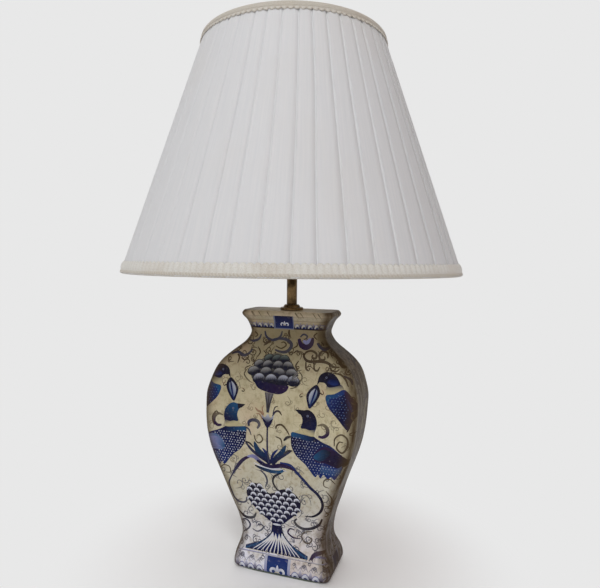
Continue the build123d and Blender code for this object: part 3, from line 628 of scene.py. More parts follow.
def lappet_row(left, right, base, pitch, rise, moon, light):
    """Row of white half moons on a dark foot, with a dark spike between each pair."""
    art = Painting()
    count = max(1, round((right - left) / pitch))
    pitch = (right - left) / count
    art.fill(bar(left, right, base - 0.5, base + 0.3 * rise), NAVY)
    for number in range(count + 1):
        x = left + number * pitch
        half = min(0.5 * pitch, x - left, right - x) if number in (0, count) else 0.34 * pitch
        if half > 0:
            art.fill([(x - half, base), (x + half, base), (x + 0.1 * half, base + 1.35 * rise),
                      (x - 0.1 * half, base + 1.35 * rise)], NAVY, faded(LILAC, 0.3), (x, base + 0.2 * rise),
                     (x, base + 1.3 * rise))
    for number in range(count):
        x = left + (number + 0.5) * pitch
        art.fill(dome((x, base), pitch * 0.42, rise * 0.95, 0.0), INK, LILAC, (x, base), (x, base + rise))
        art.fill(dome((x, base), pitch * 0.36, rise * 0.8, 0.0), moon, light, (x, base),
                 (x, base + 0.6 * rise))
        art.fill(dome((x, base), pitch * 0.2, rise * 0.34, 0.0), COBALT, NAVY, (x, base), (x, base + rise))
    return art


def petal(at, radius, rise, crown, foot, veins):
    """One scale of the flower: light crown, dark foot, and fine veins if they are wanted."""
    x, z = at
    art = Painting()
    art.fill(dome(at, radius * 1.14, rise * 1.06, 0.55), faded(foot, 0.9), foot, (x, z + rise),
             (x, z - 0.4 * rise))
    art.fill(dome(at, radius * 1.0, rise * 0.95, 0.35), foot, crown, (x, z + 0.12 * rise),
             (x, z + 0.8 * rise))
    for lean in (-0.6, -0.2, 0.2, 0.6) if veins else ():
        art.stroke([(x + lean * radius * 0.4, z - 0.25 * rise), (x + lean * radius * 0.75, z + 0.1 * rise),
                    (x + lean * radius * 0.95, z + 0.5 * rise)], 0.45, SHADE, SLATE)
    return art


def flower():
    """Large peony on a stem, its petals laid in rows like scales."""
    art = Painting()
    for points in ([(-44, 250), (-48, 243), (-42, 236), (-36, 233)],
                   [(21, 252), (26, 245), (22, 238), (13, 233)],
                   [(16, 236), (24, 240), (27, 247)], [(-40, 254), (-47, 250), (-46, 244)],
                   [(12, 230), (20, 233), (23, 239)]):
        art.stroke(points, 1.3, LINE, faded(LINE, 0.7))
    art.fill(blob([(-40, 246), (-34, 256), (-22, 265), (-8, 270), (4, 266), (14, 257), (20, 247), (14, 236),
                   (-8, 230), (-32, 234)]), faded(DIM_TEAL, 0.7), SHADE, (-10, 264), (-10, 240))
    rows = [(262, (-17, -7, 2), SAGE, SHADE, 6.4, 6.4), (254.5, (-29, -18, -5, 7), PALE_ASH, SHADE, 6.6,
                                                         7.0),
            (246.0, (-35.5, -19.5, -3, 12.5), PALE_ASH, SHADE, 7.6, 7.4),
            (237.5, (-28, -12.5, 3, 15.5), MIST, SHADE, 7.6, 8.2)]
    for height, places, crown, foot, radius, rise in rows:
        for x in places:
            art.take(petal((x, height), radius, rise, crown, foot, height < 240))
    for lean in range(4):
        art.stroke([(13, 240 + lean), (18, 242 + 2.2 * lean), (22, 243 + 3.2 * lean)], 1.0,
                   faded(DIM_TEAL, 0.9),
                   faded(ASH, 0.8), 0.4, 0.5)
    art.fill(blob([(-33, 236), (-31, 230), (-25, 226), (-12, 223), (0, 222.5), (8, 227), (10, 233), (2, 233),
                   (-10, 234), (-24, 236)]), NAVY, PLUM, (-34, 230), (10, 228))
    art.fill([(-19.5, 223.5), (-7.5, 223), (-10.8, 210), (-12.2, 199), (-15.4, 199), (-16.8, 211)], ASH,
             SLATE,
             (-14, 223), (-13.5, 201))
    for x in (-18.4, -13.6, -8.6):
        art.stroke([(x, 223), (0.4 * x - 8.2, 211), (-13.7, 201)], 1.0, faded(INK, 0.95), faded(INK, 0.95))
    for points, width in (([(-19, 193), (-22, 198.5), (-27, 200.5), (-30.5, 204)], 2.2),
                          ([(-20, 190), (-24, 196), (-29, 196.5)], 1.5),
                          ([(-18.5, 196), (-21, 203), (-19, 208)], 1.2)):
        art.stroke(points, width, RUST, faded(RUST, 0.7), 0.6, 0.2)
    for points, width in (([(-7.5, 195), (-4, 201), (0.5, 202), (4.5, 197.5)], 2.0),
                          ([(-7, 198), (-5, 206), (-1, 208)], 1.2)):
        art.stroke(points, width, SLATE, LINE, 0.6, 0.3)
    art.fill(blob([(-21.5, 196), (-17, 193), (-13.4, 197.5), (-10, 193), (-5.6, 196.5), (-7.8, 187),
                   (-13, 180), (-18.2, 187)]), MIST, NAVY, (-13, 197), (-13, 187))
    art.fill(blob([(-20.4, 192), (-16.5, 189.5), (-13.2, 186), (-10, 189.5), (-6.6, 192), (-8.6, 185.5),
                   (-13, 180),
                   (-17.4, 185.5)]), NAVY)
    art.stroke([(-13, 182), (-12.6, 165), (-12, 150), (-10.6, 137)], 1.9, NAVY, SLATE, 0.9, 0.5)
    return art


def dotted(outline, pitch, size, colour):
    """Slanting rows of small dots that keep inside an outline."""
    art = Painting()
    low, high = np.min(outline, axis=0), np.max(outline, axis=0)
    for row_number, z in enumerate(np.arange(low[1] + 0.3 * pitch, high[1], pitch * 0.87)):
        for x in np.arange(low[0] - pitch + 0.5 * pitch * (row_number % 2), high[0], pitch):
            spot = np.array([x, z]) + random.uniform(-0.14, 0.14, 2) * pitch
            reach = size * random.uniform(0.75, 1.15)
            if inside(spot[None], outline)[0]:
                art.fill(oval(spot, reach, reach * 0.85, random.uniform(0, 90), 5), colour)
    return art


def fringe(line, length, lean, width, colour, second):
    """Row of short feather strokes hanging from a line."""
    art = Painting()
    for x, z in smooth_line(line, 5):
        art.stroke([(x, z), (x + 0.5 * lean, z - 0.5 * length), (x + lean, z - length)], width, colour,
                   second,
                   0.8, 0.3)
    return art


def eye(at, size):
    art = Painting()
    art.fill(oval(at, size, size, count=8), FADED_STEEL)
    art.fill(oval(at, size * 0.5, size * 0.5, count=6), INK)
    return art


def perched_bird():
    """Bird of the upper pair, looking down at the leaf in its beak; drawn for the right side."""
    art = Painting()
    art.fill(blob([(56.5, 238), (66, 239.5), (73, 240), (77, 234), (67, 227), (58, 225)]), SLATE, WARM,
             (64, 239), (66, 232))
    body = blob([(56.5, 226), (66, 228.4), (77, 234.5), (85, 229), (93, 219), (97.5, 208), (93, 203.5),
                 (89, 197), (87, 190), (83, 189), (73, 199.5), (63, 209.5), (58, 217)])
    art.fill(body, COBALT, NAVY, (58, 222), (76, 214))
    art.fill(blob([(56.5, 226), (66, 228.6), (77, 234.5), (80, 231), (70, 225), (61.5, 222.5), (60, 216)]),
             TEAL,
             COBALT, (58, 222), (78, 232))
    art.take(dotted(blob([(58.5, 222), (68, 226), (79, 230), (84, 217), (81, 199), (73, 202), (63, 211)]),
                    3.6,
                    0.7, STEEL))
    art.fill(blob([(78, 232.5), (86, 227.5), (93, 218.5), (98, 208), (92, 204), (86, 210), (82, 220)]),
             PLUM, NAVY,
             (80, 230), (92, 206))
    for lean in range(4):
        art.stroke([(82 + lean, 224 - 3 * lean), (88 + lean, 215 - 3 * lean), (92 + lean, 207 - lean)], 0.7,
                   COBALT, INK)
    art.take(fringe([(84, 204), (88, 199), (87, 193)], 7.0, -2.5, 1.5, NAVY, INK))
    head = blob([(46, 244.5), (49, 250), (56, 253), (63.5, 251.5), (69, 246.5), (72.5, 240), (68, 237.4),
                 (59, 235.6), (54, 240), (49.5, 241)])
    art.fill(head, INK, NAVY, (58, 250), (66, 238))
    art.fill(blob([(57, 241), (64, 238.4), (70, 240), (67, 244.6), (60, 245)]), COBALT, NAVY, (64, 238),
             (62, 246))
    art.fill([(49, 247.5), (46, 244.5), (44.4, 236.5), (47.6, 240.5), (53, 240.5)], INK)
    art.take(eye((55.5, 246.5), 1.3))
    art.fill(blob([(45, 237.5), (38, 233), (33, 225), (34.5, 216), (38, 209), (45, 217), (49.6, 228)]), INK,
             NAVY,
             (42, 236), (40, 212))
    art.fill(blob([(43.6, 233), (38.4, 229), (36, 222), (38.2, 214), (43.4, 219.5), (46, 228)]), MIST, TEAL,
             (37, 226), (45, 220))
    art.stroke([(45, 236), (42, 225), (38.2, 211)], 1.9, NAVY, COBALT)
    for at, heading, turn in (((29, 226), 190, 260), ((51, 232), -40, -260)):
        art.scroll(at, heading, 9, turn, 1.2, RUST, LINE)
    return art


def standing_bird(crown, wing, wing_tip, dot, dot_colour):
    """Bird of the lower pair, its head turned to the flower; drawn for the right side."""
    art = Painting()
    lower_edge = [(47, 127.5), (51, 131), (54, 126.5), (58, 131.5), (63, 127), (67, 130), (71, 127)]
    body = blob([(18.5, 178), (32, 177), (45, 176), (56, 171), (66, 167.5), (75, 161.5), (88, 151),
                 (83, 146),
                 (79, 138), (75, 132)] + lower_edge[::-1] + [(36, 141), (25, 150), (19, 160), (17.5, 168)],
                 4)
    art.fill(body, NAVY, COBALT, (30, 176), (64, 128))
    art.fill(blob([(18.5, 179), (32, 177.6), (45, 176.8), (50, 172), (44, 169.5), (30, 172), (19, 173)]),
             TEAL,
             NAVY, (20, 176), (46, 170))
    art.take(dotted(blob([(18, 174), (33, 172), (48, 171), (60, 167), (51, 160), (46, 152), (50, 147),
                          (62, 145),
                          (72, 143), (78, 138), (72, 131), (60, 132), (48, 129.5), (36, 143), (23, 153)]),
                          3.5,
                    dot, dot_colour))
    art.fill(blob([(46, 152), (51, 161), (61, 166), (74, 161), (89, 151), (84, 145), (75, 142), (60, 146),
                   (50, 146)]), wing, wing_tip, (54, 156), (84, 149))
    art.fill(blob([(46, 151), (50.5, 158), (58, 162.5), (67, 160), (62, 152.5), (54, 147.5)]), TEAL,
             wing_tip,
             (47, 149), (66, 160))
    for number in range(5):
        art.stroke([(49 + 2.5 * number, 149 + 1.6 * number), (62 + 3 * number, 148 + 1.9 * number),
                    (75 + 2.6 * number, 145 + 1.4 * number)], 0.8, wing_tip, NAVY)
    art.take(fringe([(56, 143), (64, 141.5), (73, 141), (80, 145)], 10.0, -2.0, 0.7, STEEL, TEAL))
    art.fill(blob([(29, 188), (46.6, 189), (46.4, 182), (44.6, 176.6), (33, 177.6), (21.5, 179.4),
                   (27, 183)]),
             SLATE, WARM, (37, 189), (34, 183))
    art.fill(blob([(22, 205.4), (29, 205.8), (37, 207.4), (44, 203), (48, 195), (47.6, 186.5), (41, 183.4),
                   (35, 184.6), (29, 185), (30.6, 193), (28.4, 200)]), crown, NAVY, (34, 205), (44, 187))
    art.fill([(31, 206.6), (20.5, 206.4), (25, 202), (30, 200)], INK)
    art.take(eye((36.5, 200), 1.4))
    art.stroke([(49, 190), (56, 191.5), (61, 187.5), (61.5, 181), (56.5, 177), (51, 177.4)], 3.6,
               faded(LINE, 0.8),
               PLUM, 0.2, 0.5)
    return art


def scaled_urn():
    """Urn covered with staggered half moons, on a ringed foot that opens into a fan of rays."""
    art = Painting()
    outline = blob([(-42.5, 98), (-37, 106), (-29, 108.5), (-20.5, 104), (-14, 98.5), (-8, 98.5), (2, 104.5),
                    (11, 106), (21.5, 101.5), (27.5, 92), (23.5, 80), (11, 68), (0, 60), (-12, 61),
                    (-25, 69), (-35.5, 79), (-42, 89)])
    art.fill(outline, INK, NAVY, (-10, 106), (-8, 62))
    pitch, rise = 9.4, 5.9
    for row_number, z in enumerate(np.arange(62.5, 108, rise)):
        for x in np.arange(-48 + (row_number % 2) * pitch / 2, 30, pitch):
            scale = dome((x, z), pitch * 0.43, rise * 0.78, 0.0)
            if inside(scale, outline).mean() > 0.6:
                art.fill(scale, MIST, SPARK, (x, z), (x, z + rise * 0.55))
                art.fill(dome((x + 0.2, z - 0.2), pitch * 0.3, rise * 0.46, 0.0), SHADE, MIST,
                         (x, z + 0.1 * rise),
                         (x, z + 0.55 * rise))
    art.take(fan(-6.0, -46.0, 34.0))
    return art


def fan(middle, left, right):
    """Foot of the urn: dark root, pale rays, and broad blue blades along its lower edge."""
    art = Painting()
    top, low = 58.0, 25.2
    art.fill(blob([(left, low), (-34, 30.5), (-22, 36), (-14.5, 46), (-12, top), (0, top), (2.5, 46),
                   (11, 37),
                   (23, 31), (right, low), (12, 24.9), (middle, 24.9), (-24, 24.9)], 4),
             faded(CREAM, 0.6), faded(CREAM, 0.9), (middle, 34), (middle, 46))
    blades = 17
    for number in range(blades):
        share = (number + 0.5) / blades
        lean = share - 0.5
        foot_x = left + (right - left) * share
        half = (right - left) / blades * (0.62 - 0.25 * (1 - abs(lean) * 2))
        tip = (middle + (foot_x - middle) * (0.52 - 0.1 * (number % 2)),
               39.5 - 7.5 * abs(lean) + 1.5 * (number % 2))
        tone = COBALT if abs(lean) < 0.2 else STEEL
        art.fill([tip, (foot_x - half, low + 3.4), (foot_x - half, low), (foot_x + half, low),
                  (foot_x + half, low + 3.4)], tone, NAVY, (foot_x, 38), (foot_x, low))
    for share in np.linspace(0.12, 0.88, 12):
        x = left + (right - left) * share
        lean = share - 0.5
        art.stroke([(middle + lean * 13, 48), (middle + (x - middle) * 0.55, 37 - 4 * abs(lean)),
                    (x, low + 0.6)],
                   0.9, SPARK, faded(SPARK, 0.5), 0.8, 0.5)
    art.fill([(-12, 61), (-11.8, 56), (-14.5, 46.5), (-11.4, 48.5), (-10.6, 41.5), (-8.2, 47.5), (-6, 40),
              (-3.8, 47.5), (-1.2, 41.5), (-0.4, 48.5), (3.4, 46.5), (-0.2, 56), (0, 61)], NAVY, COBALT,
             (-6, 50), (-6, 42))
    for side in (-1, 1):
        art.stroke([(middle + side * 5.8, 58), (middle + side * 8.5, 46), (middle + side * 21, 34.5),
                    (middle + side * 40, low + 0.4)], 1.3, NAVY, TEAL, 0.6, 0.8)
    art.fill(oval((middle, 58.8), 5.6, 1.3), SPARK, MIST, (-10, 59), (0, 58))
    return art


def garland():
    """Leaf spray, the urn's rim and the long scrolls on either side of the urn."""
    art = Painting()
    for points, width, tone in (([(-8, 136), (-17, 145), (-25, 151.5), (-29.5, 162)], 6.2, DEEP_TEAL),
                                ([(-12, 138), (-25, 145), (-34, 152), (-42, 161)], 3.0, SLATE),
                                ([(-9, 137), (-13, 148), (-19, 155)], 3.0, COBALT),
                                ([(-7, 136), (0.5, 145), (6, 151), (11.5, 162)], 6.0, DEEP_TEAL),
                                ([(-4, 138), (8, 148), (19, 155.5)], 2.6, SLATE),
                                ([(-8, 137), (-5, 148), (2, 156)], 2.6, COBALT)):
        art.stroke(points, width, NAVY, tone, 0.9, 0.05)
    art.stroke([(-36, 141.5), (-42, 138.5), (-48, 133), (-55, 124), (-60, 116)], 3.6, PLUM, SLATE, 0.6, 0.3)
    art.stroke([(-58, 119), (-63, 111), (-66, 103), (-63, 92), (-60, 85), (-54, 81), (-46, 81.5),
                (-43.5, 88)],
               2.0, SLATE, SLATE, 0.4, 0.4)
    art.stroke([(4, 138.5), (17, 137.5), (25, 129.5), (33, 121.5), (41, 113), (49, 106.5), (54, 99),
                (54.5, 91),
                (50, 83), (41, 77), (31, 76)], 3.0, COBALT, INK, 0.9, 0.15)
    art.stroke([(-39, 141.5), (-30, 142.5), (-22, 137), (-13, 132.5)], 4.2, LILAC, PLUM, 0.2, 0.5)
    art.stroke([(-26, 138), (-17, 134), (-7, 132.4), (5, 135.5), (15, 134.5), (23, 131)], 4.4, NAVY, PLUM,
               0.5, 0.1)
    art.stroke([(-30, 134.6), (-20, 131.2), (-8, 129.4), (3, 131), (12, 129)], 1.6, SPARK, MIST, 0.4, 0.4)
    art.stroke([(-29, 131.4), (-20, 128.6), (-9, 126.6), (2, 127), (8, 129.6)], 3.6, INK, TEAL, 0.3, 0.6)
    for points, width, colour in (
            ([(-22, 126), (-16, 120.5), (-14, 113), (-17, 105.5)], 1.7, SLATE),
            ([(5, 126), (-4, 121), (-6.5, 113.5), (-3, 106), (3, 100)], 1.8, INK),
            ([(53, 76), (48.5, 68), (39.5, 62), (29, 59.4), (21, 62), (17.6, 67), (21, 71)], 2.5, INK),
            ([(-62, 88), (-57, 82.5), (-51, 80.5), (-45, 82.5), (-43, 88.5)], 1.5, SLATE),
            ([(-57, 70), (-50, 63.5), (-43, 61.6), (-36, 63.8), (-32.5, 69.5)], 2.5, INK),
            ([(-54, 57), (-47, 59), (-42, 54), (-44, 48), (-52, 42)], 1.6, SLATE),
            ([(-39, 48), (-33, 45.6), (-27, 48.5), (-24, 53.5), (-30, 55.5), (-32, 52)], 1.4, SLATE),
            ([(17, 56), (11, 56.5), (8, 51.5), (11, 48), (16, 46), (23, 46)], 1.5, PLUM),
            ([(39, 58), (30, 55.5), (25.5, 49.5), (29, 43), (35.5, 43), (38.5, 48.5), (34, 50)], 1.4, LINE),
            ([(38.5, 25.6), (41, 30), (47, 33.4), (55, 35)], 3.4, PLUM),
            ([(44, 29), (50, 30), (56, 28)], 1.4, LILAC),
            ([(-78, 120), (-72, 126), (-64, 125), (-63, 118), (-69, 117)], 1.1, LINE),
            ([(72, 122), (66, 127), (59, 125), (58, 118), (64, 116)], 1.1, LINE),
            ([(60, 112), (66, 104), (64, 95), (57, 92)], 1.1, LINE),
            ([(-2, 180), (-1, 184.6), (5, 186), (11, 181), (15.5, 174.5)], 1.7, LINE),
            ([(-37, 180), (-37.6, 185), (-33, 188), (-27, 187.6), (-23.6, 183.6), (-26, 178)], 3.0, SLATE),
            ([(-42, 178.5), (-37, 176), (-33.5, 169)], 1.4, SLATE),
            ([(-41, 160.5), (-35, 158.5), (-30, 154)], 1.6, INK),
            ([(-30, 170), (-27.5, 163), (-23, 160.6), (-18.6, 165), (-21.6, 170.6), (-26, 170)], 1.3, LINE),
            ([(-2, 171), (5, 168), (7, 158)], 1.3, LINE),
            ([(8.6, 167), (12.6, 171.4), (18, 173.4)], 2.4, INK),
            ([(20, 156), (14, 155), (9, 151)], 1.8, INK),
            ([(70.6, 168), (71, 177), (78, 182.4), (85.4, 178), (85.6, 168), (80, 161), (73.6, 166),
              (76, 173.4), (81, 173.4)], 1.6, LINE),
            ([(98, 187), (95.6, 180), (95, 171)], 3.4, PLUM),
            ([(-84, 176), (-87, 186), (-82, 194), (-78, 190)], 1.5, LINE)):
        art.stroke(points, width * 1.15, colour, faded(colour, 0.9), 0.5, 0.45)
    return art


def shoulder_scrolls():
    """Curls between the neck border and the birds."""
    art = Painting()
    for points, width, colour in (
            ([(-46, 283), (-40, 282.6), (-34, 285), (-31, 291)], 2.0, SLATE),
            ([(-26.6, 295), (-24.4, 288.6), (-18, 284.8), (-11, 285.6), (-6, 289.6), (-4, 296)], 2.1, SLATE),
            ([(-18, 285), (-22, 281), (-27, 277.6)], 1.5, LINE),
            ([(-15, 285.4), (-6, 287), (2, 286), (7.6, 282.4), (8.4, 277.6), (4, 272.6), (-3, 271.4),
              (-11.5, 273.6)], 2.8, SLATE),
            ([(-11, 278), (-4, 275.6), (2, 279.4), (-1, 283), (-5, 282)], 1.2, LINE),
            ([(17.4, 288), (20.4, 281.4), (27, 278.4), (33, 282.4), (34.8, 290)], 4.2, PLUM),
            ([(23, 286), (27.6, 284), (32, 289)], 3.0, LILAC),
            ([(19, 290), (23, 293.4), (27.6, 291.4), (26, 287.4)], 1.5, SLATE),
            ([(5, 298), (4.6, 293.6), (6.4, 289)], 1.8, LINE),
            ([(-68, 266), (-59, 268.4), (-52, 265), (-46, 266.4), (-40, 273)], 2.4, SLATE),
            ([(-59.4, 266), (-56.6, 262), (-58, 255)], 1.4, LINE),
            ([(-54, 262), (-49, 259.6), (-44.6, 263), (-47, 266)], 1.2, LINE),
            ([(25, 267), (28, 273), (34.4, 275), (40.8, 272), (40.4, 267), (36, 268), (37, 271)], 1.8, LINE),
            ([(55, 268), (54.4, 273.4), (49, 275.6), (44.4, 272), (46, 266.4), (51.4, 266.6), (51, 270)],
             1.7, LINE),
            ([(24.6, 272), (27.6, 265.6), (34, 263), (46, 264), (55, 263), (63, 259), (70, 259)], 2.3, LINE),
            ([(29, 263), (30, 255), (33.6, 252.4)], 1.6, LINE),
            ([(39, 264), (40, 255), (44, 253.4), (46.6, 258)], 1.5, LINE),
            ([(57, 263), (60, 256), (66, 254), (70, 257)], 1.5, LINE),
            ([(20, 263), (17, 257), (20, 253)], 1.3, LINE),
            ([(40.4, 284), (45, 279.6), (51, 277.8), (55.6, 281), (55.6, 286)], 2.6, SLATE),
            ([(48.6, 297), (52, 288), (60, 281.6), (67, 280)], 2.2, LINE),
            ([(62, 275), (68, 268), (77, 268.6)], 2.6, LINE), ([(68, 266), (73, 260), (80, 259)], 2.0, LINE),
            ([(64, 252), (72, 251), (78, 246), (82, 238)], 1.6, LINE),
            ([(76, 250), (83, 246), (86, 240)], 1.6, SLATE),
            ([(-34, 276), (-30, 270), (-33, 264)], 1.2, LINE),
            ([(-26, 272), (-22, 268), (-25, 264)], 1.0, LINE),
            ([(12, 271), (17, 274), (21, 270)], 1.2, LINE), ([(12, 277), (16, 280), (15, 284)], 1.2, LINE),
            ([(-40, 262), (-36, 258), (-39, 254)], 1.1, LINE),
            ([(-40, 294), (-36, 290), (-39, 287)], 1.3, LINE),
            ([(40, 296), (36, 292), (40, 288)], 1.2, LINE)):
        art.stroke(points, width * 1.2, colour, faded(colour, 0.9), 0.5, 0.4)
    return art


def borders(half_lip, half_foot, broad):
    """Bands round the neck and the foot, with a panel in the middle of a broad face."""
    art = Painting()
    panel = (-12.5, 10.0) if broad else (-6.0, 6.0)
    foot_panel = (-15.8, 10.8) if broad else (-9.0, 9.0)
    art.fill(bar(-half_lip, half_lip, 298.6, 300.4), INK)
    art.fill(bar(-half_lip, half_lip, 308.4, 309.2), faded(LINE, 0.45))
    art.fill(bar(-half_lip, half_lip, 309.2, 313.6), faded(SAGE, 0.2))
    art.fill(bar(-half_lip, half_lip, 313.6, 314.2), faded(LINE, 0.4))
    for x in ((-40, -31, -20, 16, 22.5, 38, 44) if broad else (-12, 8)):
        art.stroke([(x - 3, 319), (x, 315.6), (x + 2.4, 312)], random.uniform(0.8, 2.2), faded(LINE, 0.8),
                   faded(LINE, 0.5), 0.4, 0.2)
    for left, right in ((-half_lip, panel[0] - 1.4), (panel[1] + 1.4, half_lip)):
        art.take(lappet_row(left, right, 300.4, 8.2, 5.2, FADED_STEEL, CREAM))
    art.fill(bar(panel[0] - 1.8, panel[1] + 1.2, 298.6, 314.6), FADED_STEEL)
    art.fill(bar(*panel, 299.6, 314.6), NAVY, COBALT, (0, 316), (0, 296))
    art.take(fleur((sum(panel) / 2 + 0.6, 304.4), 4.0 if broad else 3.0))
    art.fill(bar(-half_foot, half_foot, 23.2, 24.0), faded(LILAC, 0.8), faded(MIST, 0.6), (-40, 23),
             (10, 23))
    art.fill(bar(-half_foot, half_foot, 22.6, 23.2), faded(SLATE, 0.6))
    for left, right in ((-half_foot, foot_panel[0] - 3.6), (foot_panel[1] + 3.6, half_foot)):
        art.take(lappet_row(left, right, 3.4, 13.0, 7.8, MIST, SPARK))
        for number, x in enumerate(np.arange(left + 6.5, right - 3, 6.5)):
            art.scroll((x, 14.5), 80, 12, -400 if number % 2 else 400, 1.1, faded(LILAC, 0.9),
                       faded(SLATE, 0.8))
            art.stroke([(x - 3, 12.5), (x, 16.5), (x + 3, 12.5)], 0.8, faded(SLATE, 0.6))
    art.fill(bar(foot_panel[0] - 3.4, foot_panel[1] + 3.4, 1.8, 22.4), LILAC, MIST, (0, 2), (0, 22))
    art.fill(bar(*foot_panel, 1.8, 22.2), PANEL_BLUE, COBALT, (0, 2), (0, 20))
    art.take(fleur((sum(foot_panel) / 2 + 0.4, 6.6), 7.4 if broad else 5.0))
    return art


def broad_face():
    """The whole painting of the front; the back repeats it."""
    art = Painting()
    art.take(curl_field((-62, 62, 28, 60), 13, 20, 1.2, faded(SLATE, 0.85)))
    art.take(curl_field((-84, 84, 62, 134), 16, 24, 1.2, faded(SLATE, 0.75), 0.1))
    art.take(curl_field((-92, 96, 140, 252), 17, 20, 1.0, faded(LINE, 0.6), 0.5))
    art.take(curl_field((-76, 84, 256, 294), 13, 20, 1.3, faded(LINE, 0.9)))
    art.take(borders(60.0, 66.0, True))
    art.take(shoulder_scrolls())
    art.take(perched_bird())
    art.take(mirrored(perched_bird(), -10.6))
    art.take(standing_bird(INK, PLUM, INK, 0.8, PALE_STEEL))
    art.take(mirrored(standing_bird(TEAL, STEEL, LILAC, 0.9, MIST), -11.4))
    art.take(garland())
    art.take(scaled_urn())
    art.take(flower())
    return art


def narrow_face():
    """Painting of a side: tendrils round a climbing spray of dark leaves."""
    art = Painting()
    art.take(curl_field((-30, 30, 28, 295), 15, 21, 1.5, faded(LINE, 0.9)))
    art.take(borders(27.0, 38.0, False))
    art.stroke([(0, 34), (-5, 80), (5, 130), (-4, 180), (4, 230), (-2, 286)], 1.7, SLATE, LINE, 0.9, 0.3)
    for number, z in enumerate(range(56, 276, 22)):
        side = 1 if number % 2 else -1
        root = (side * 2, z)
        art.stroke([root, (side * 10, z + 8), (side * 17, z + 9), (side * 22, z + 20)], 6.0, SLATE, PLUM,
                   0.3, 0.05)
        art.stroke([root, (side * 9, z + 7), (side * 17, z + 12)], 0.9, faded(MIST, 0.6))
        art.scroll((root[0], z + 8), 90 + side * 60, 20, side * 400, 1.4, LINE, SLATE)
    return art


# ---------------------------------------------------------------- jar: the painted skin
FOOT_ZONE, LIP_ZONE = 40.0, 288.0     # below and above them the outline turns faster
PATCH = 4.4                           # longest step of a painted outline


def strip_grid():
    """Plain points of the skin: closer together where it bends."""
    columns = []
    for start, length in zip(SEAMS, STRETCHES):
        spacing = 1.8 if length <= CORNER_ARC + 0.01 else 5.5
        columns.append(start + np.arange(round(length / spacing)) * length / round(length / spacing))
    columns = np.append(np.concatenate(columns), STRIP)
    heights = np.concatenate([np.arange(JAR_BOTTOM, FOOT_ZONE, 1.6), np.arange(FOOT_ZONE, LIP_ZONE, 5.0),
                              np.arange(LIP_ZONE, JAR_TOP, 1.4), [JAR_TOP]])
    return columns, heights


def subdivided(outline):
    """The outline with no step longer than PATCH."""
    points = []
    for start, end in zip(outline, np.roll(outline, -1, axis=0)):
        pieces = max(1, int(np.ceil(np.linalg.norm(end - start) / PATCH)))
        points += [start + (end - start) * number / pieces for number in range(pieces)]
    return np.array(points)


def strip_shapes():
    """All shapes of the four faces, moved onto the strip."""
    front = broad_face()
    shapes = []
    for face, art in (("front", front), ("back", front), ("left", narrow_face()), ("right", narrow_face())):
        for outline, colour, second, start, end in art.shapes:
            placed = on_strip(face, subdivided(outline))
            ends = on_strip(face, [start, end])
            shapes.append((placed, colour, second, ends[0], ends[1]))
    return shapes


CORD_HOLE_HEIGHT = (shown("cord_bushing")[0][2] + shown("cord_bushing")[1][2]) / 2
CORD_HOLE_RADIUS = 5.1


def cord_hole():
    """Outline of the cord's hole, in the middle of the back."""
    ring = oval((0.0, CORD_HOLE_HEIGHT), CORD_HOLE_RADIUS, CORD_HOLE_RADIUS, count=32)
    return on_strip("back", ring)


def skin_triangles(shapes, hole):
    """Triangles of the strip that keep every painted outline as an edge."""
    columns, heights = strip_grid()
    plain = np.stack(np.meshgrid(columns, heights), -1).reshape(-1, 2)
    clear = np.ones(len(plain), bool)
    clear &= np.linalg.norm(plain - hole.mean(axis=0), axis=1) > CORD_HOLE_RADIUS + 1.0
    points, edges = [plain[clear]], []
    count = len(points[0])
    for outline in [hole] + [shape[0] for shape in shapes]:
        points.append(outline)
        edges += [(count + n, count + (n + 1) % len(outline)) for n in range(len(outline))]
        count += len(outline)
    flat = [Vector(p) for p in np.concatenate(points)]
    found, _, faces, *_ = delaunay_2d_cdt(flat, edges, [], 0, 1e-4, False)
    found = np.array([tuple(p) for p in found])
    faces = np.array(faces)
    centres = found[faces].mean(axis=1)
    keep = ~inside(centres, hole)
    low, side, far = found[faces[:, 0]], found[faces[:, 1]], found[faces[:, 2]]
    area = np.cross(side - low, far - low)
    keep &= np.abs(area) > 1e-6
    faces = np.where((area > 0)[:, None], faces, faces[:, ::-1])
    return found, faces[keep]


def painted_corners(points, faces, shapes):
    """Colour and cover of each corner of each triangle, from the last shape painted there."""
    centres = points[faces].mean(axis=1)
    order = np.argsort(centres[:, 0])
    strips = centres[order, 0]
    top = np.full(len(faces), -1)
    for number, (outline, *_) in enumerate(shapes):
        low, high = outline.min(axis=0), outline.max(axis=0)
        near = order[np.searchsorted(strips, low[0]):np.searchsorted(strips, high[0])]
        near = near[(centres[near, 1] >= low[1]) & (centres[near, 1] <= high[1])]
        if len(near):
            top[near[inside(centres[near], outline)]] = number
    corners = np.zeros((len(faces), 3, 4))
    by_shape = np.argsort(top, kind="stable")
    starts = np.searchsorted(top[by_shape], np.arange(len(shapes) + 1))
    for number, (_, colour, second, start, end) in enumerate(shapes):
        here = by_shape[starts[number]:starts[number + 1]]
        run = end - start
        share = ((points[faces[here]] - start) @ run) / max(run @ run, 1e-9)
        share = np.clip(share, 0, 1)[..., None]
        corners[here] = (1 - share) * np.array(colour) + share * np.array(second)
    return corners


def stain_and_side_shade_of(points):
    """How much brown goes into the skin: most on the narrow sides and the corners, a little at the lip and
    the foot. On the narrow sides the brown is partly a stain and partly painted shade.
    """
    strip, height = points[:, 0], points[:, 1]
    to_front = np.abs(strip - MIDDLES["front"])
    to_back = np.abs(strip - MIDDLES["back"])
    # The narrow sides and corners are browned: partly a stain, partly painted shade.
    past_face = np.clip((np.minimum(to_front, to_back) - FACE_HALF + 6) / 14, 0, 1)
    lip = np.clip((height - 290) / 30, 0, 1)
    foot = np.clip((12 - height) / 12, 0, 1)
    return np.clip(past_face + 0.08 * lip + 0.12 * foot + 0.04, 0, 1)


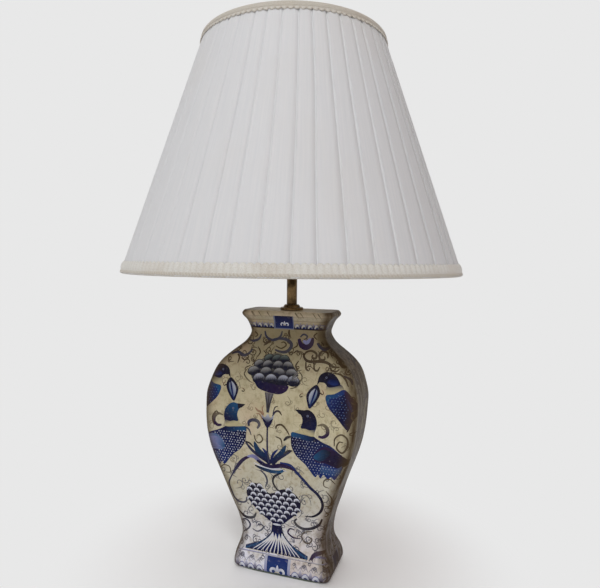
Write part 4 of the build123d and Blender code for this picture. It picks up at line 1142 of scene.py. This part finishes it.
RECESS_INSET, RECESS_TOP = 10.0, 16.0
PIPE_HOLE = 5.8


def rounded_loop(half_x, half_y, radius, height, count):
    """Closed ring of points round a rounded rectangle."""
    angle = np.linspace(0, 2 * pi, count, endpoint=False)
    power = 0.32
    x = np.sign(np.cos(angle)) * np.abs(np.cos(angle)) ** power * half_x
    y = np.sign(np.sin(angle)) * np.abs(np.sin(angle)) ** power * half_y
    return np.stack([x, y, np.full(count, height)], -1)


def bridged(outer, inner, base_outer, base_inner):
    """Triangles between two closed rings of different counts, walked round by angle."""
    def turn(ring):
        return np.arctan2(ring[:, 1] / np.abs(ring[:, 1]).max(), ring[:, 0] / np.abs(ring[:, 0]).max())
    first, second = turn(outer), turn(inner)
    order_a, order_b = np.argsort(first), np.argsort(second)
    faces, a, b = [], 0, 0
    while a < len(order_a) or b < len(order_b):
        next_a = first[order_a[a]] if a < len(order_a) else 9.0
        next_b = second[order_b[b]] if b < len(order_b) else 9.0
        here_a = order_a[(a - 1) % len(order_a)] if a else order_a[-1]
        here_b = order_b[(b - 1) % len(order_b)] if b else order_b[-1]
        if next_a <= next_b:
            faces.append((base_outer + here_a, base_outer + order_a[a], base_inner + here_b))
            a += 1
        else:
            faces.append((base_outer + here_a, base_inner + order_b[b], base_inner + here_b))
            b += 1
    return faces


def jar():
    """The painted skin, its flat top round the pipe, and the hollow under the foot."""
    shapes = strip_shapes()
    hole = cord_hole()
    flat, faces = skin_triangles(shapes, hole)
    colours = painted_corners(flat, faces, shapes)
    points = [jar_surface(flat[:, 0], flat[:, 1])]
    normals = [jar_normals(flat[:, 0], flat[:, 1])[faces]]
    stain_and_side_shade_values = [stain_and_side_shade_of(flat)]
    all_faces = [faces]
    count = len(points[0])

    def ring_of(height):
        here = np.flatnonzero(np.abs(flat[:, 1] - height) < 1e-3)
        here = here[flat[here, 0] < STRIP - 1e-3]
        return here[np.argsort(flat[here, 0])]

    def add_ring(ring, stain_and_side_shade):
        nonlocal count
        points.append(ring)
        stain_and_side_shade_values.append(np.full(len(ring), stain_and_side_shade))
        start = count
        count += len(ring)
        return start

    def add_faces(new, normal):
        new = np.array(new)
        all_points = np.concatenate(points)
        corners = all_points[new]
        face_normal = np.cross(corners[:, 1] - corners[:, 0], corners[:, 2] - corners[:, 0])
        wrong = (face_normal * normal(corners.mean(axis=1))).sum(axis=1) < 0
        new[wrong] = new[wrong][:, ::-1]
        all_faces.append(new)
        wanted = normal(all_points[new].reshape(-1, 3)).reshape(len(new), 3, 3)
        normals.append(wanted)

    def facing(x, y, z):
        return lambda p: np.tile(np.array([x, y, z], float), (len(p), 1))

    def inward(p):
        towards = -p * (1.0, 1.0, 0.0)
        return towards / (np.linalg.norm(towards, axis=1)[:, None] + 1e-9)

    pipe_count = 48
    around = np.linspace(0, 2 * pi, pipe_count, endpoint=False)
    circle = np.stack([PIPE_HOLE * np.cos(around), PIPE_HOLE * np.sin(around), np.zeros(pipe_count)], -1)
    rim = ring_of(JAR_TOP)
    edge = points[0][rim]
    middle = edge * (0.55, 0.6, 1.0)
    start_middle = add_ring(middle, 0.3)
    start_pipe = add_ring(circle + (0, 0, JAR_TOP), 0.35)
    loop = list(range(len(rim)))
    ring_faces = []
    for here, following in zip(loop, loop[1:] + loop[:1]):
        ring_faces.append((rim[here], rim[following], start_middle + following))
        ring_faces.append((rim[here], start_middle + following, start_middle + here))
    add_faces(ring_faces, facing(0, 0, 1))
    add_faces(bridged(middle, circle, start_middle, start_pipe), facing(0, 0, 1))

    sole = ring_of(JAR_BOTTOM)
    foot = points[0][sole]
    half_x, half_y = np.abs(foot[:, 0]).max(), np.abs(foot[:, 1]).max()
    recess_x, recess_y = half_x + 3.0 - RECESS_INSET, half_y + 3.0 - RECESS_INSET
    mouth = rounded_loop(recess_x, recess_y, CORNER, JAR_BOTTOM, 96)
    start_mouth = add_ring(mouth, 0.5)
    start_ceiling = add_ring(mouth + (0, 0, RECESS_TOP - JAR_BOTTOM), 0.5)
    start_inner = add_ring(circle + (0, 0, RECESS_TOP), 0.5)
    add_faces([(int(i), int(j), int(k)) for i, j, k in bridged_sole(sole, foot, mouth, start_mouth)],
              facing(0, 0, -1))
    wall = []
    for here in range(96):
        following = (here + 1) % 96
        wall.append((start_mouth + here, start_mouth + following, start_ceiling + following))
        wall.append((start_mouth + here, start_ceiling + following, start_ceiling + here))
    add_faces(wall, inward)
    add_faces(bridged(mouth, circle, start_ceiling, start_inner), facing(0, 0, -1))

    piece = new_object("painted_jar", np.concatenate(points), np.concatenate(all_faces))
    return piece, np.concatenate(all_faces), np.concatenate(normals), colours, np.concatenate(stain_and_side_shade_values)


def bridged_sole(sole, foot, mouth, start_mouth):
    """The foot ring's underside, from the outline of the skin to the mouth of the recess."""
    faces = bridged(foot, mouth, 0, len(foot))
    moved = []
    for face in faces:
        moved.append([sole[i] if i < len(foot) else start_mouth + i - len(foot) for i in face])
    return moved


def dress_jar():
    piece, faces, normals, colours, stain_and_side_shade_values = jar()
    mesh = piece.data
    paint = mesh.attributes.new("paint", "FLOAT_COLOR", "CORNER")
    values = np.zeros((len(faces), 3, 4))
    values[:len(colours)] = colours
    paint.data.foreach_set("color", values.ravel())
    stain_and_side_shade = mesh.attributes.new("stain_and_side_shade", "FLOAT", "POINT")
    stain_and_side_shade.data.foreach_set("value", stain_and_side_shade_values)
    mesh.normals_split_custom_set(normals.reshape(-1, 3))
    return finish_piece(piece, "lamp_base", "painted_glaze", "vase_body")


dress_jar()

# ---------------------------------------------------------------- shade: its cone
trim_low, trim_high = shown("bottom_trim")
crown_low, crown_high = shown("top_trim")
SHADE_BOTTOM, SHADE_TOP = trim_low[2], crown_high[2]
BOTTOM_TRIM, TOP_TRIM = trim_high[2] - trim_low[2], crown_high[2] - crown_low[2]
TRIM_DEPTH = 2.2
TOP_SHARE = 109.0 / 203.2         # radius of the top edge over that of the lower edge
BOTTOM_RADIUS = trim_high[0] + 0.3
TOP_RADIUS = BOTTOM_RADIUS * TOP_SHARE
CONE_SLOPE = (BOTTOM_RADIUS - TOP_RADIUS) / (SHADE_TOP - SHADE_BOTTOM)
SLANT = (1 + CONE_SLOPE ** 2) ** 0.5


def cone_radius(height):
    """Outer radius of the shade, braid included."""
    return BOTTOM_RADIUS - CONE_SLOPE * (height - SHADE_BOTTOM)


def set_cloth_map(piece, across, along):
    """Stores each vertex's place on the flat cloth, in metres, as the map called cloth."""
    mesh = piece.data
    layer = mesh.uv_layers.new(name="cloth")
    corner = np.empty(len(mesh.loops), int)
    mesh.loops.foreach_get("vertex_index", corner)
    place = np.stack([across, along], -1)[corner] * MM
    layer.uv.foreach_set("vector", place.astype(np.float32).ravel())


def thicken(piece, thickness, offset=0.0):
    shell = piece.modifiers.new("thickness", "SOLIDIFY")
    shell.thickness = thickness * MM
    shell.offset = offset


# ---------------------------------------------------------------- shade: pleated cover
PLEATS = 46
PLEAT_FALL = 0.35                 # each pleat's face sinks this far before the groove
GROOVE_DEPTH, GROOVE_WIDTH = 1.9, 2.8
PLEAT_LAP = 6.5                   # cloth folded back under each crest, at the lower edge
PLEAT_SLANT = radians(3.0)        # each crest runs this much round the cone on its way up
COVER_GAP = 0.35                  # under the braid
pleat_random = np.random.default_rng(7)
pleat_starts = np.arange(PLEATS) * 2 * pi / PLEATS + pleat_random.normal(-0.006, 0.0095, PLEATS)
pleat_bows = pleat_random.normal(0, 0.0026, (PLEATS, 2))
groove_depths = GROOVE_DEPTH * pleat_random.uniform(0.7, 1.2, PLEATS)


def pleat_section(pitch, lap, fall, groove):
    """One pleat from its crest to the fold under the next crest: (mm round the cone, mm sunk)."""
    flat = pitch - GROOVE_WIDTH
    section = [(0.0, 0.0), (0.3, 0.0), (1.0, 0.05 * fall)]
    section += [(1.0 + (flat - 1.0) * share, fall * share) for share in (0.25, 0.5, 0.75, 1.0)]
    section += [(flat + share * GROOVE_WIDTH, fall + sunk * groove)
                for share, sunk in ((0.3, 0.55), (0.55, 1.0), (0.8, 0.85))]
    section += [(pitch - 0.02, 0.7), (pitch + 0.4 * lap, 0.9), (pitch + lap, 0.9)]
    section += [(pitch + 0.5 * lap, 0.45), (pitch + 0.15 * lap, 0.4), (pitch + 0.05, 0.3)]
    return section


def pleated_cover():
    """One strip of cloth laid round the cone in knife pleats, each folded back under the next crest."""
    rows, edge = 52, 0.8          # the cloth ends this far inside the braids' outer edges
    points, across, along = [], [], []
    for height in np.linspace(SHADE_BOTTOM + edge, SHADE_TOP - edge, rows):
        share = (height - SHADE_BOTTOM) / (SHADE_TOP - SHADE_BOTTOM)
        radius = cone_radius(height) - TRIM_DEPTH - COVER_GAP
        narrowing = radius / BOTTOM_RADIUS
        edges = pleat_starts + PLEAT_SLANT * share
        edges = edges + pleat_bows[:, 0] * np.sin(pi * share) + pleat_bows[:, 1] * np.sin(2 * pi * share)
        edges = np.append(edges, edges[0] + 2 * pi)
        for number in range(PLEATS):
            pitch = (edges[number + 1] - edges[number]) * radius
            groove = groove_depths[number] * (0.5 + 0.5 * narrowing)
            for step, (arc, sunk) in enumerate(pleat_section(pitch, PLEAT_LAP * narrowing, PLEAT_FALL,
                                                             groove)):
                angle, ring = edges[number] + arc / radius, radius - sunk
                points.append((ring * cos(angle), ring * sin(angle), height))
                across.append(number * 2 * pi / PLEATS * BOTTOM_RADIUS + arc / narrowing)
                along.append((height - SHADE_BOTTOM) * SLANT)
    piece = new_object("pleated_cover", points, grid_faces(rows, len(points) // rows, True))
    set_cloth_map(piece, np.array(across), np.array(along))
    thicken(piece, 0.3)
    return piece


def lining():
    """Smooth inner cloth, drawn over the wires and slightly puckered between them."""
    low, high = shown("shade_lining")
    rows, columns = 40, 384
    inset = cone_radius(low[2]) - high[0] - 0.2
    heights = np.linspace(low[2], high[2], rows)
    points, across, along = [], [], []
    for height in heights:
        share = (height - low[2]) / (high[2] - low[2])
        for number in range(columns):
            angle = 2 * pi * number / columns
            pucker = 0.25 * sin(48 * angle + 2.0 * share) * (0.3 + 0.7 * abs(2 * share - 1))
            pucker -= 0.35 * (0.5 + 0.5 * cos(8 * angle + pi)) ** 2 * sin(pi * share)
            radius = cone_radius(height) - inset - 0.4 + pucker
            points.append((radius * cos(angle), radius * sin(angle), height))
            across.append(radius * angle)
            along.append((height - low[2]) * SLANT)
    piece = new_object("shade_lining_cloth", points, grid_faces(rows, columns, True))
    set_cloth_map(piece, np.array(across), np.array(along))
    thicken(piece, 0.35)
    return piece


# ---------------------------------------------------------------- shade: braids
TUCK_SHARE = 0.6                  # share of the braid's height over which its lower edge curls in
BOTTOM_TUCK = 2.6                 # how far the bottom braid's lower edge curls in
BOTTOM_STEPS, TOP_STEPS = 2208, 1320  # points round each braid
PICOT_PITCH, TOP_PICOT_PITCH = 6.9, 6.3


def braid(name, low, height, profile, steps_round, tuck):
    """Band of braid: profile gives, for a place round and up it, its relief, its rise and its tone."""
    rows_up = 15
    around = np.arange(steps_round) * 2 * pi / steps_round
    radius_middle = cone_radius(low + height / 2)
    length = 2 * pi * radius_middle
    points, across, along, tones = [], [], [], []
    for row in range(rows_up):
        up = row / (rows_up - 1)
        relief, rise, tone = profile(around * radius_middle, up, length)
        level = low + rise
        radii = cone_radius(level) - TRIM_DEPTH + 0.25 + relief - tuck * np.clip(1 - up / TUCK_SHARE, 0,
                                                                                 1) ** 2
        points.append(np.stack([radii * np.cos(around), radii * np.sin(around), level], -1))
        across.append(around * radius_middle)
        along.append(level - low)
        tones.append(tone)
    for row in (rows_up - 1, 0):
        edge = points[row]
        radii = cone_radius(edge[:, 2]) - TRIM_DEPTH - (tuck if row == 0 else 0.0)
        points.append(np.stack([radii * np.cos(around), radii * np.sin(around), edge[:, 2]], -1))
        across.append(around * radius_middle)
        along.append(edge[:, 2] - low)
        tones.append(tones[row])
    faces = grid_faces(rows_up + 2, steps_round, True)
    last = (rows_up + 1) * steps_round
    for column in range(steps_round):
        following = (column + 1) % steps_round
        faces.append((last + column, last + following, following, column))
    piece = new_object(name, np.concatenate(points), faces)
    set_cloth_map(piece, np.concatenate(across), np.concatenate(along))
    tone_layer = piece.data.attributes.new("tone", "FLOAT", "POINT")
    tone_layer.data.foreach_set("value", np.concatenate(tones))
    return piece


def whole_turns(length, pitch):
    """The pitch that fits a whole number of times round the braid."""
    return length / round(length / pitch)


def bottom_profile(around, up, length):
    """Twisted beige edge below, and a row of white loops whose tops stand up as picots."""
    pitch = whole_turns(length, PICOT_PITCH)
    wave = np.abs(np.cos(pi * around / pitch))
    top = BOTTOM_TRIM - 2.3 + 2.3 * wave ** 0.6
    rise = up * top
    rope_height = 4.4
    in_rope = rise < rope_height
    across_rope = np.clip(rise / rope_height * 2 - 1, -1, 1)
    twist = np.cos(2 * pi * (around / (pitch / 2) + rise / 5.0))
    rope = np.sqrt(np.clip(1 - across_rope ** 2, 0, 1)) * (1.45 + 0.3 * twist)
    loop_place = np.clip((rise - rope_height) / (top - rope_height), 0, 1)
    loop = np.sqrt(np.clip(1 - (2 * loop_place - 1) ** 2, 0, 1))
    strands = 0.75 + 0.25 * np.cos(2 * pi * around / (pitch / 4))
    body = loop * (0.55 + 0.75 * wave) * strands
    relief = np.where(in_rope, rope, body)
    tone = np.where(in_rope, 0.4 + 0.3 * (twist < -0.3), 0.03 + 0.2 * (1 - wave))
    return relief, rise, tone


def top_profile(around, up, length):
    """Folded ochre band above, and a row of small loops that hang down as picots."""
    pitch = whole_turns(length, TOP_PICOT_PITCH)
    wave = np.abs(np.cos(pi * around / pitch))
    bottom = 2.1 * (1 - wave ** 0.6)
    rise = bottom + up * (TOP_TRIM - bottom)
    band_start = 3.6
    in_band = rise > band_start
    across_band = np.clip((rise - band_start) / (TOP_TRIM - band_start) * 2 - 1, -1, 1)
    band = (1 - np.abs(across_band) ** 2.6) * 1.5 + 0.12 * np.cos(2 * pi * rise / 1.6)
    loop_place = np.clip((rise - bottom) / (band_start - bottom), 0, 1)
    loop = np.sqrt(np.clip(1 - (2 * loop_place - 1) ** 2, 0, 1)) * (0.4 + 0.85 * wave)
    relief = np.where(in_band, band, loop)
    tone = np.where(in_band, 0.55 + 0.1 * np.cos(2 * pi * rise / 1.6), 0.3 + 0.5 * (1 - wave))
    return relief, rise, tone


def dress_shade():
    bottom_braid = braid("bottom_braid", SHADE_BOTTOM, BOTTOM_TRIM, bottom_profile, BOTTOM_STEPS,
                         BOTTOM_TUCK)
    top_braid = braid("top_braid", SHADE_TOP - TOP_TRIM, TOP_TRIM, top_profile, TOP_STEPS, 0.0)
    finish_piece(bottom_braid, "shade", "braid", "bottom_trim")
    finish_piece(top_braid, "shade", "braid", "top_trim")
    cover = finish_piece(pleated_cover(), "shade", "pleated_fabric", "shade_cover")
    inner = finish_piece(lining(), "shade", "lining_fabric", "shade_lining")


dress_shade()


# ---------------------------------------------------------------- felt and finial
def felt_band():
    """Felt ring glued under the foot, its edges softened."""
    low, high = shown("felt_pad")
    width = 7.0
    outer_x, outer_y = high[0], high[1]
    section = [(0.0, 0.0), (0.0, 1.4), (0.5, 2.0), (width - 0.5, 2.0), (width, 1.4), (width, 0.0)]
    count = 160
    random_edge = np.random.default_rng(3)
    fuzz = random_edge.normal(0, 0.06, count)
    points = []
    for inset, height in section:
        ring = rounded_loop(outer_x - inset, outer_y - inset, CORNER, low[2] + height, count)
        ring[:, :2] *= 1 - (0.0006 + np.abs(fuzz[:, None]) * 0.002)
        points.append(ring)
    faces = grid_faces(len(section), count, True)
    last = (len(section) - 1) * count
    for column in range(count):
        following = (column + 1) % count
        faces.append((last + column, last + following, following, column))
    faces = [face[::-1] for face in faces]
    return new_object("felt_ring", np.concatenate(points), faces)


finish_piece(felt_band(), "lamp_base", "felt", "felt_pad")


def turned_finial():
    """Brass knob: flared base, thin waist, collar, ball and tip, turned on the shade's axis."""
    low, high = shown("finial")
    ball_radius = high[0]
    height = high[2] - low[2]
    ball = height - ball_radius - 2.5
    bore = 3.2
    outline = [(bore, 0.0), (7.6, 0.0), (8.0, 0.4), (8.0, 1.4), (6.9, 2.4), (4.9, 3.2), (4.1, 4.2),
               (3.9, 5.6),
               (4.3, 7.1), (5.3, 7.8), (5.6, 8.3), (5.3, 8.8), (4.6, 9.3)]
    for angle in range(-58, 84, 6):
        outline.append((ball_radius * cos(radians(angle)), ball + ball_radius * sin(radians(angle))))
    outline += [(1.7, height - 2.3), (1.75, height - 1.4), (1.4, height - 0.6), (0.7, height - 0.1),
                (0.0, height)]
    count = 64
    points = [(radius * cos(2 * pi * n / count), radius * sin(2 * pi * n / count), low[2] + level)
              for radius, level in outline for n in range(count)]
    piece = new_object("turned_finial", points, grid_faces(len(outline), count, True))
    edge = piece.modifiers.new("weld", "WELD")
    edge.merge_threshold = 0.01 * MM
    return piece


finish_piece(turned_finial(), "finial", "antique_brass", "finial")


# ---------------------------------------------------------------- camera, floor and light
CAMERA_PLACE = Vector((0.2277, -0.6261, 0.3806))
CAMERA_TURN, CAMERA_TILT, CAMERA_ROLL = radians(19.132), radians(90 - 3.526), radians(0.587)
FOCAL_PIXELS = 542.469            # focal length in pixels of the photograph's frame
SENSOR = 36.0
BACKDROP = srgb(232, 232, 232)


def add_camera():
    data = bpy.data.cameras.new("camera")
    data.sensor_fit = "HORIZONTAL"
    data.sensor_width = SENSOR
    data.lens = FOCAL_PIXELS / PHOTO_WIDTH * SENSOR
    data.clip_end = 50.0
    camera = bpy.data.objects.new("camera", data)
    turn = Matrix.Rotation(CAMERA_TURN, 4, "Z") @ Matrix.Rotation(CAMERA_TILT, 4, "X")
    camera.matrix_world = Matrix.Translation(CAMERA_PLACE) @ turn @ Matrix.Rotation(CAMERA_ROLL, 4, "Z")
    bpy.context.scene.collection.objects.link(camera)
    bpy.context.scene.camera = camera


def add_lamp(name, place, target, size, power, colour):
    data = bpy.data.lights.new(name, "AREA")
    data.shape = "DISK"
    data.size = size
    data.energy = power
    data.color = colour[:3]
    lamp = bpy.data.objects.new(name, data)
    direction = Vector(target) - Vector(place)
    lamp.matrix_world = Matrix.Translation(place) @ direction.to_track_quat("-Z", "Y").to_matrix().to_4x4()
    bpy.context.scene.collection.objects.link(lamp)


def seen_or_lit(tree, seen, lit):
    """Share that is 1 for camera, mirror and glass rays, 0 for the rays that light the object."""
    path = tree.nodes.new("ShaderNodeLightPath")
    share = path.outputs["Is Camera Ray"]
    for name in ("Is Glossy Ray", "Is Transmission Ray"):
        either = tree.nodes.new("ShaderNodeMath")
        either.operation = "MAXIMUM"
        tree.links.new(share, either.inputs[0])
        tree.links.new(path.outputs[name], either.inputs[1])
        share = either.outputs[0]
    mix = tree.nodes.new("ShaderNodeMixShader")
    tree.links.new(share, mix.inputs[0])
    tree.links.new(lit, mix.inputs[1])
    tree.links.new(seen, mix.inputs[2])
    return mix.outputs[0]


def add_world():
    """The plain backdrop where it is seen; a light that turns dim and brown towards +X where it lights."""
    world = bpy.data.worlds.new("studio")
    world.use_nodes = True
    tree = world.node_tree
    seen = tree.nodes["Background"]
    seen.inputs["Color"].default_value = BACKDROP
    lit = tree.nodes.new("ShaderNodeBackground")
    where = tree.nodes.new("ShaderNodeTexCoord").outputs["Generated"]
    side = tree.nodes.new("ShaderNodeSeparateXYZ")
    tree.links.new(where, side.inputs[0])
    ramp = tree.nodes.new("ShaderNodeValToRGB")
    ramp.color_ramp.elements[0].color = srgb(206, 205, 206)
    ramp.color_ramp.elements[1].color = srgb(98, 58, 38)
    ramp.color_ramp.elements[1].position = 0.78
    ramp.color_ramp.elements.new(0.36).color = srgb(238, 239, 240)
    spread = tree.nodes.new("ShaderNodeMapRange")
    spread.inputs["From Min"].default_value = -0.9
    spread.inputs["From Max"].default_value = 0.9
    tree.links.new(side.outputs[0], spread.inputs["Value"])
    tree.links.new(spread.outputs[0], ramp.inputs[0])
    tree.links.new(ramp.outputs[0], lit.inputs["Color"])
    rise = tree.nodes.new("ShaderNodeMapRange")
    for key, value in (("From Min", 0.0), ("From Max", 0.8), ("To Min", 0.42), ("To Max", 0.95)):
        rise.inputs[key].default_value = value
    tree.links.new(side.outputs[2], rise.inputs["Value"])
    tree.links.new(rise.outputs[0], lit.inputs["Strength"])
    output = tree.nodes["World Output"]
    tree.links.new(seen_or_lit(tree, seen.outputs[0], lit.outputs[0]), output.inputs["Surface"])
    bpy.context.scene.world = world


FLOOR_NEAR, FLOOR_FAR = 0.1, 0.3    # the floor fades into the backdrop between these distances


def add_floor():
    """Pale floor that keeps the lamp's soft shadow and fades into the backdrop further out."""
    reach = 40.0
    mesh = bpy.data.meshes.new("floor")
    corners = [(-reach, -reach, 0), (reach, -reach, 0), (reach, reach, 0), (-reach, reach, 0)]
    mesh.from_pydata(corners, [], [(0, 1, 2, 3)])
    floor = bpy.data.objects.new("floor", mesh)
    bpy.context.scene.collection.objects.link(floor)
    finish = Finish("floor", Roughness=0.9)
    speck = finish.noise(finish.place(), 14.0, 2.0)
    shaded = finish.use(Base_Color=finish.mix(speck, srgb(246, 246, 246), srgb(249, 249, 249)))
    tree = finish.tree
    plain = finish.add("ShaderNodeEmission", None, {"Color": BACKDROP})
    away = finish.add("ShaderNodeVectorMath", {"operation": "LENGTH"}, {0: finish.place()}).outputs["Value"]
    fade = finish.span(away, FLOOR_NEAR, FLOOR_FAR, 0.0, 1.0, True)
    path = finish.add("ShaderNodeLightPath")
    seen = finish.maths("MAXIMUM", path.outputs["Is Camera Ray"], path.outputs["Is Glossy Ray"])
    seen = finish.maths("MAXIMUM", seen, path.outputs["Is Transmission Ray"])
    blend = finish.add("ShaderNodeMixShader", None, {0: finish.maths("MULTIPLY", seen, fade)})
    tree.links.new(finish.shader.outputs[0], blend.inputs[1])
    tree.links.new(plain.outputs[0], blend.inputs[2])
    tree.links.new(blend.outputs[0], tree.nodes["Material Output"].inputs["Surface"])
    floor.data.materials.append(shaded)


add_camera()
add_world()
add_floor()
add_lamp("key", (0.85, -1.95, 2.05), (0, 0, 0.35), 1.3, 35.5, srgb(252, 254, 255))
add_lamp("left", (-2.2, -1.5, 0.9), (0, 0, 0.35), 1.8, 4.0, srgb(255, 253, 250))
add_lamp("rear", (-0.6, 2.5, 1.9), (0, 0, 0.35), 1.8, 8.0, srgb(255, 253, 250))
scene = bpy.context.scene
scene.view_settings.view_transform = "Standard"
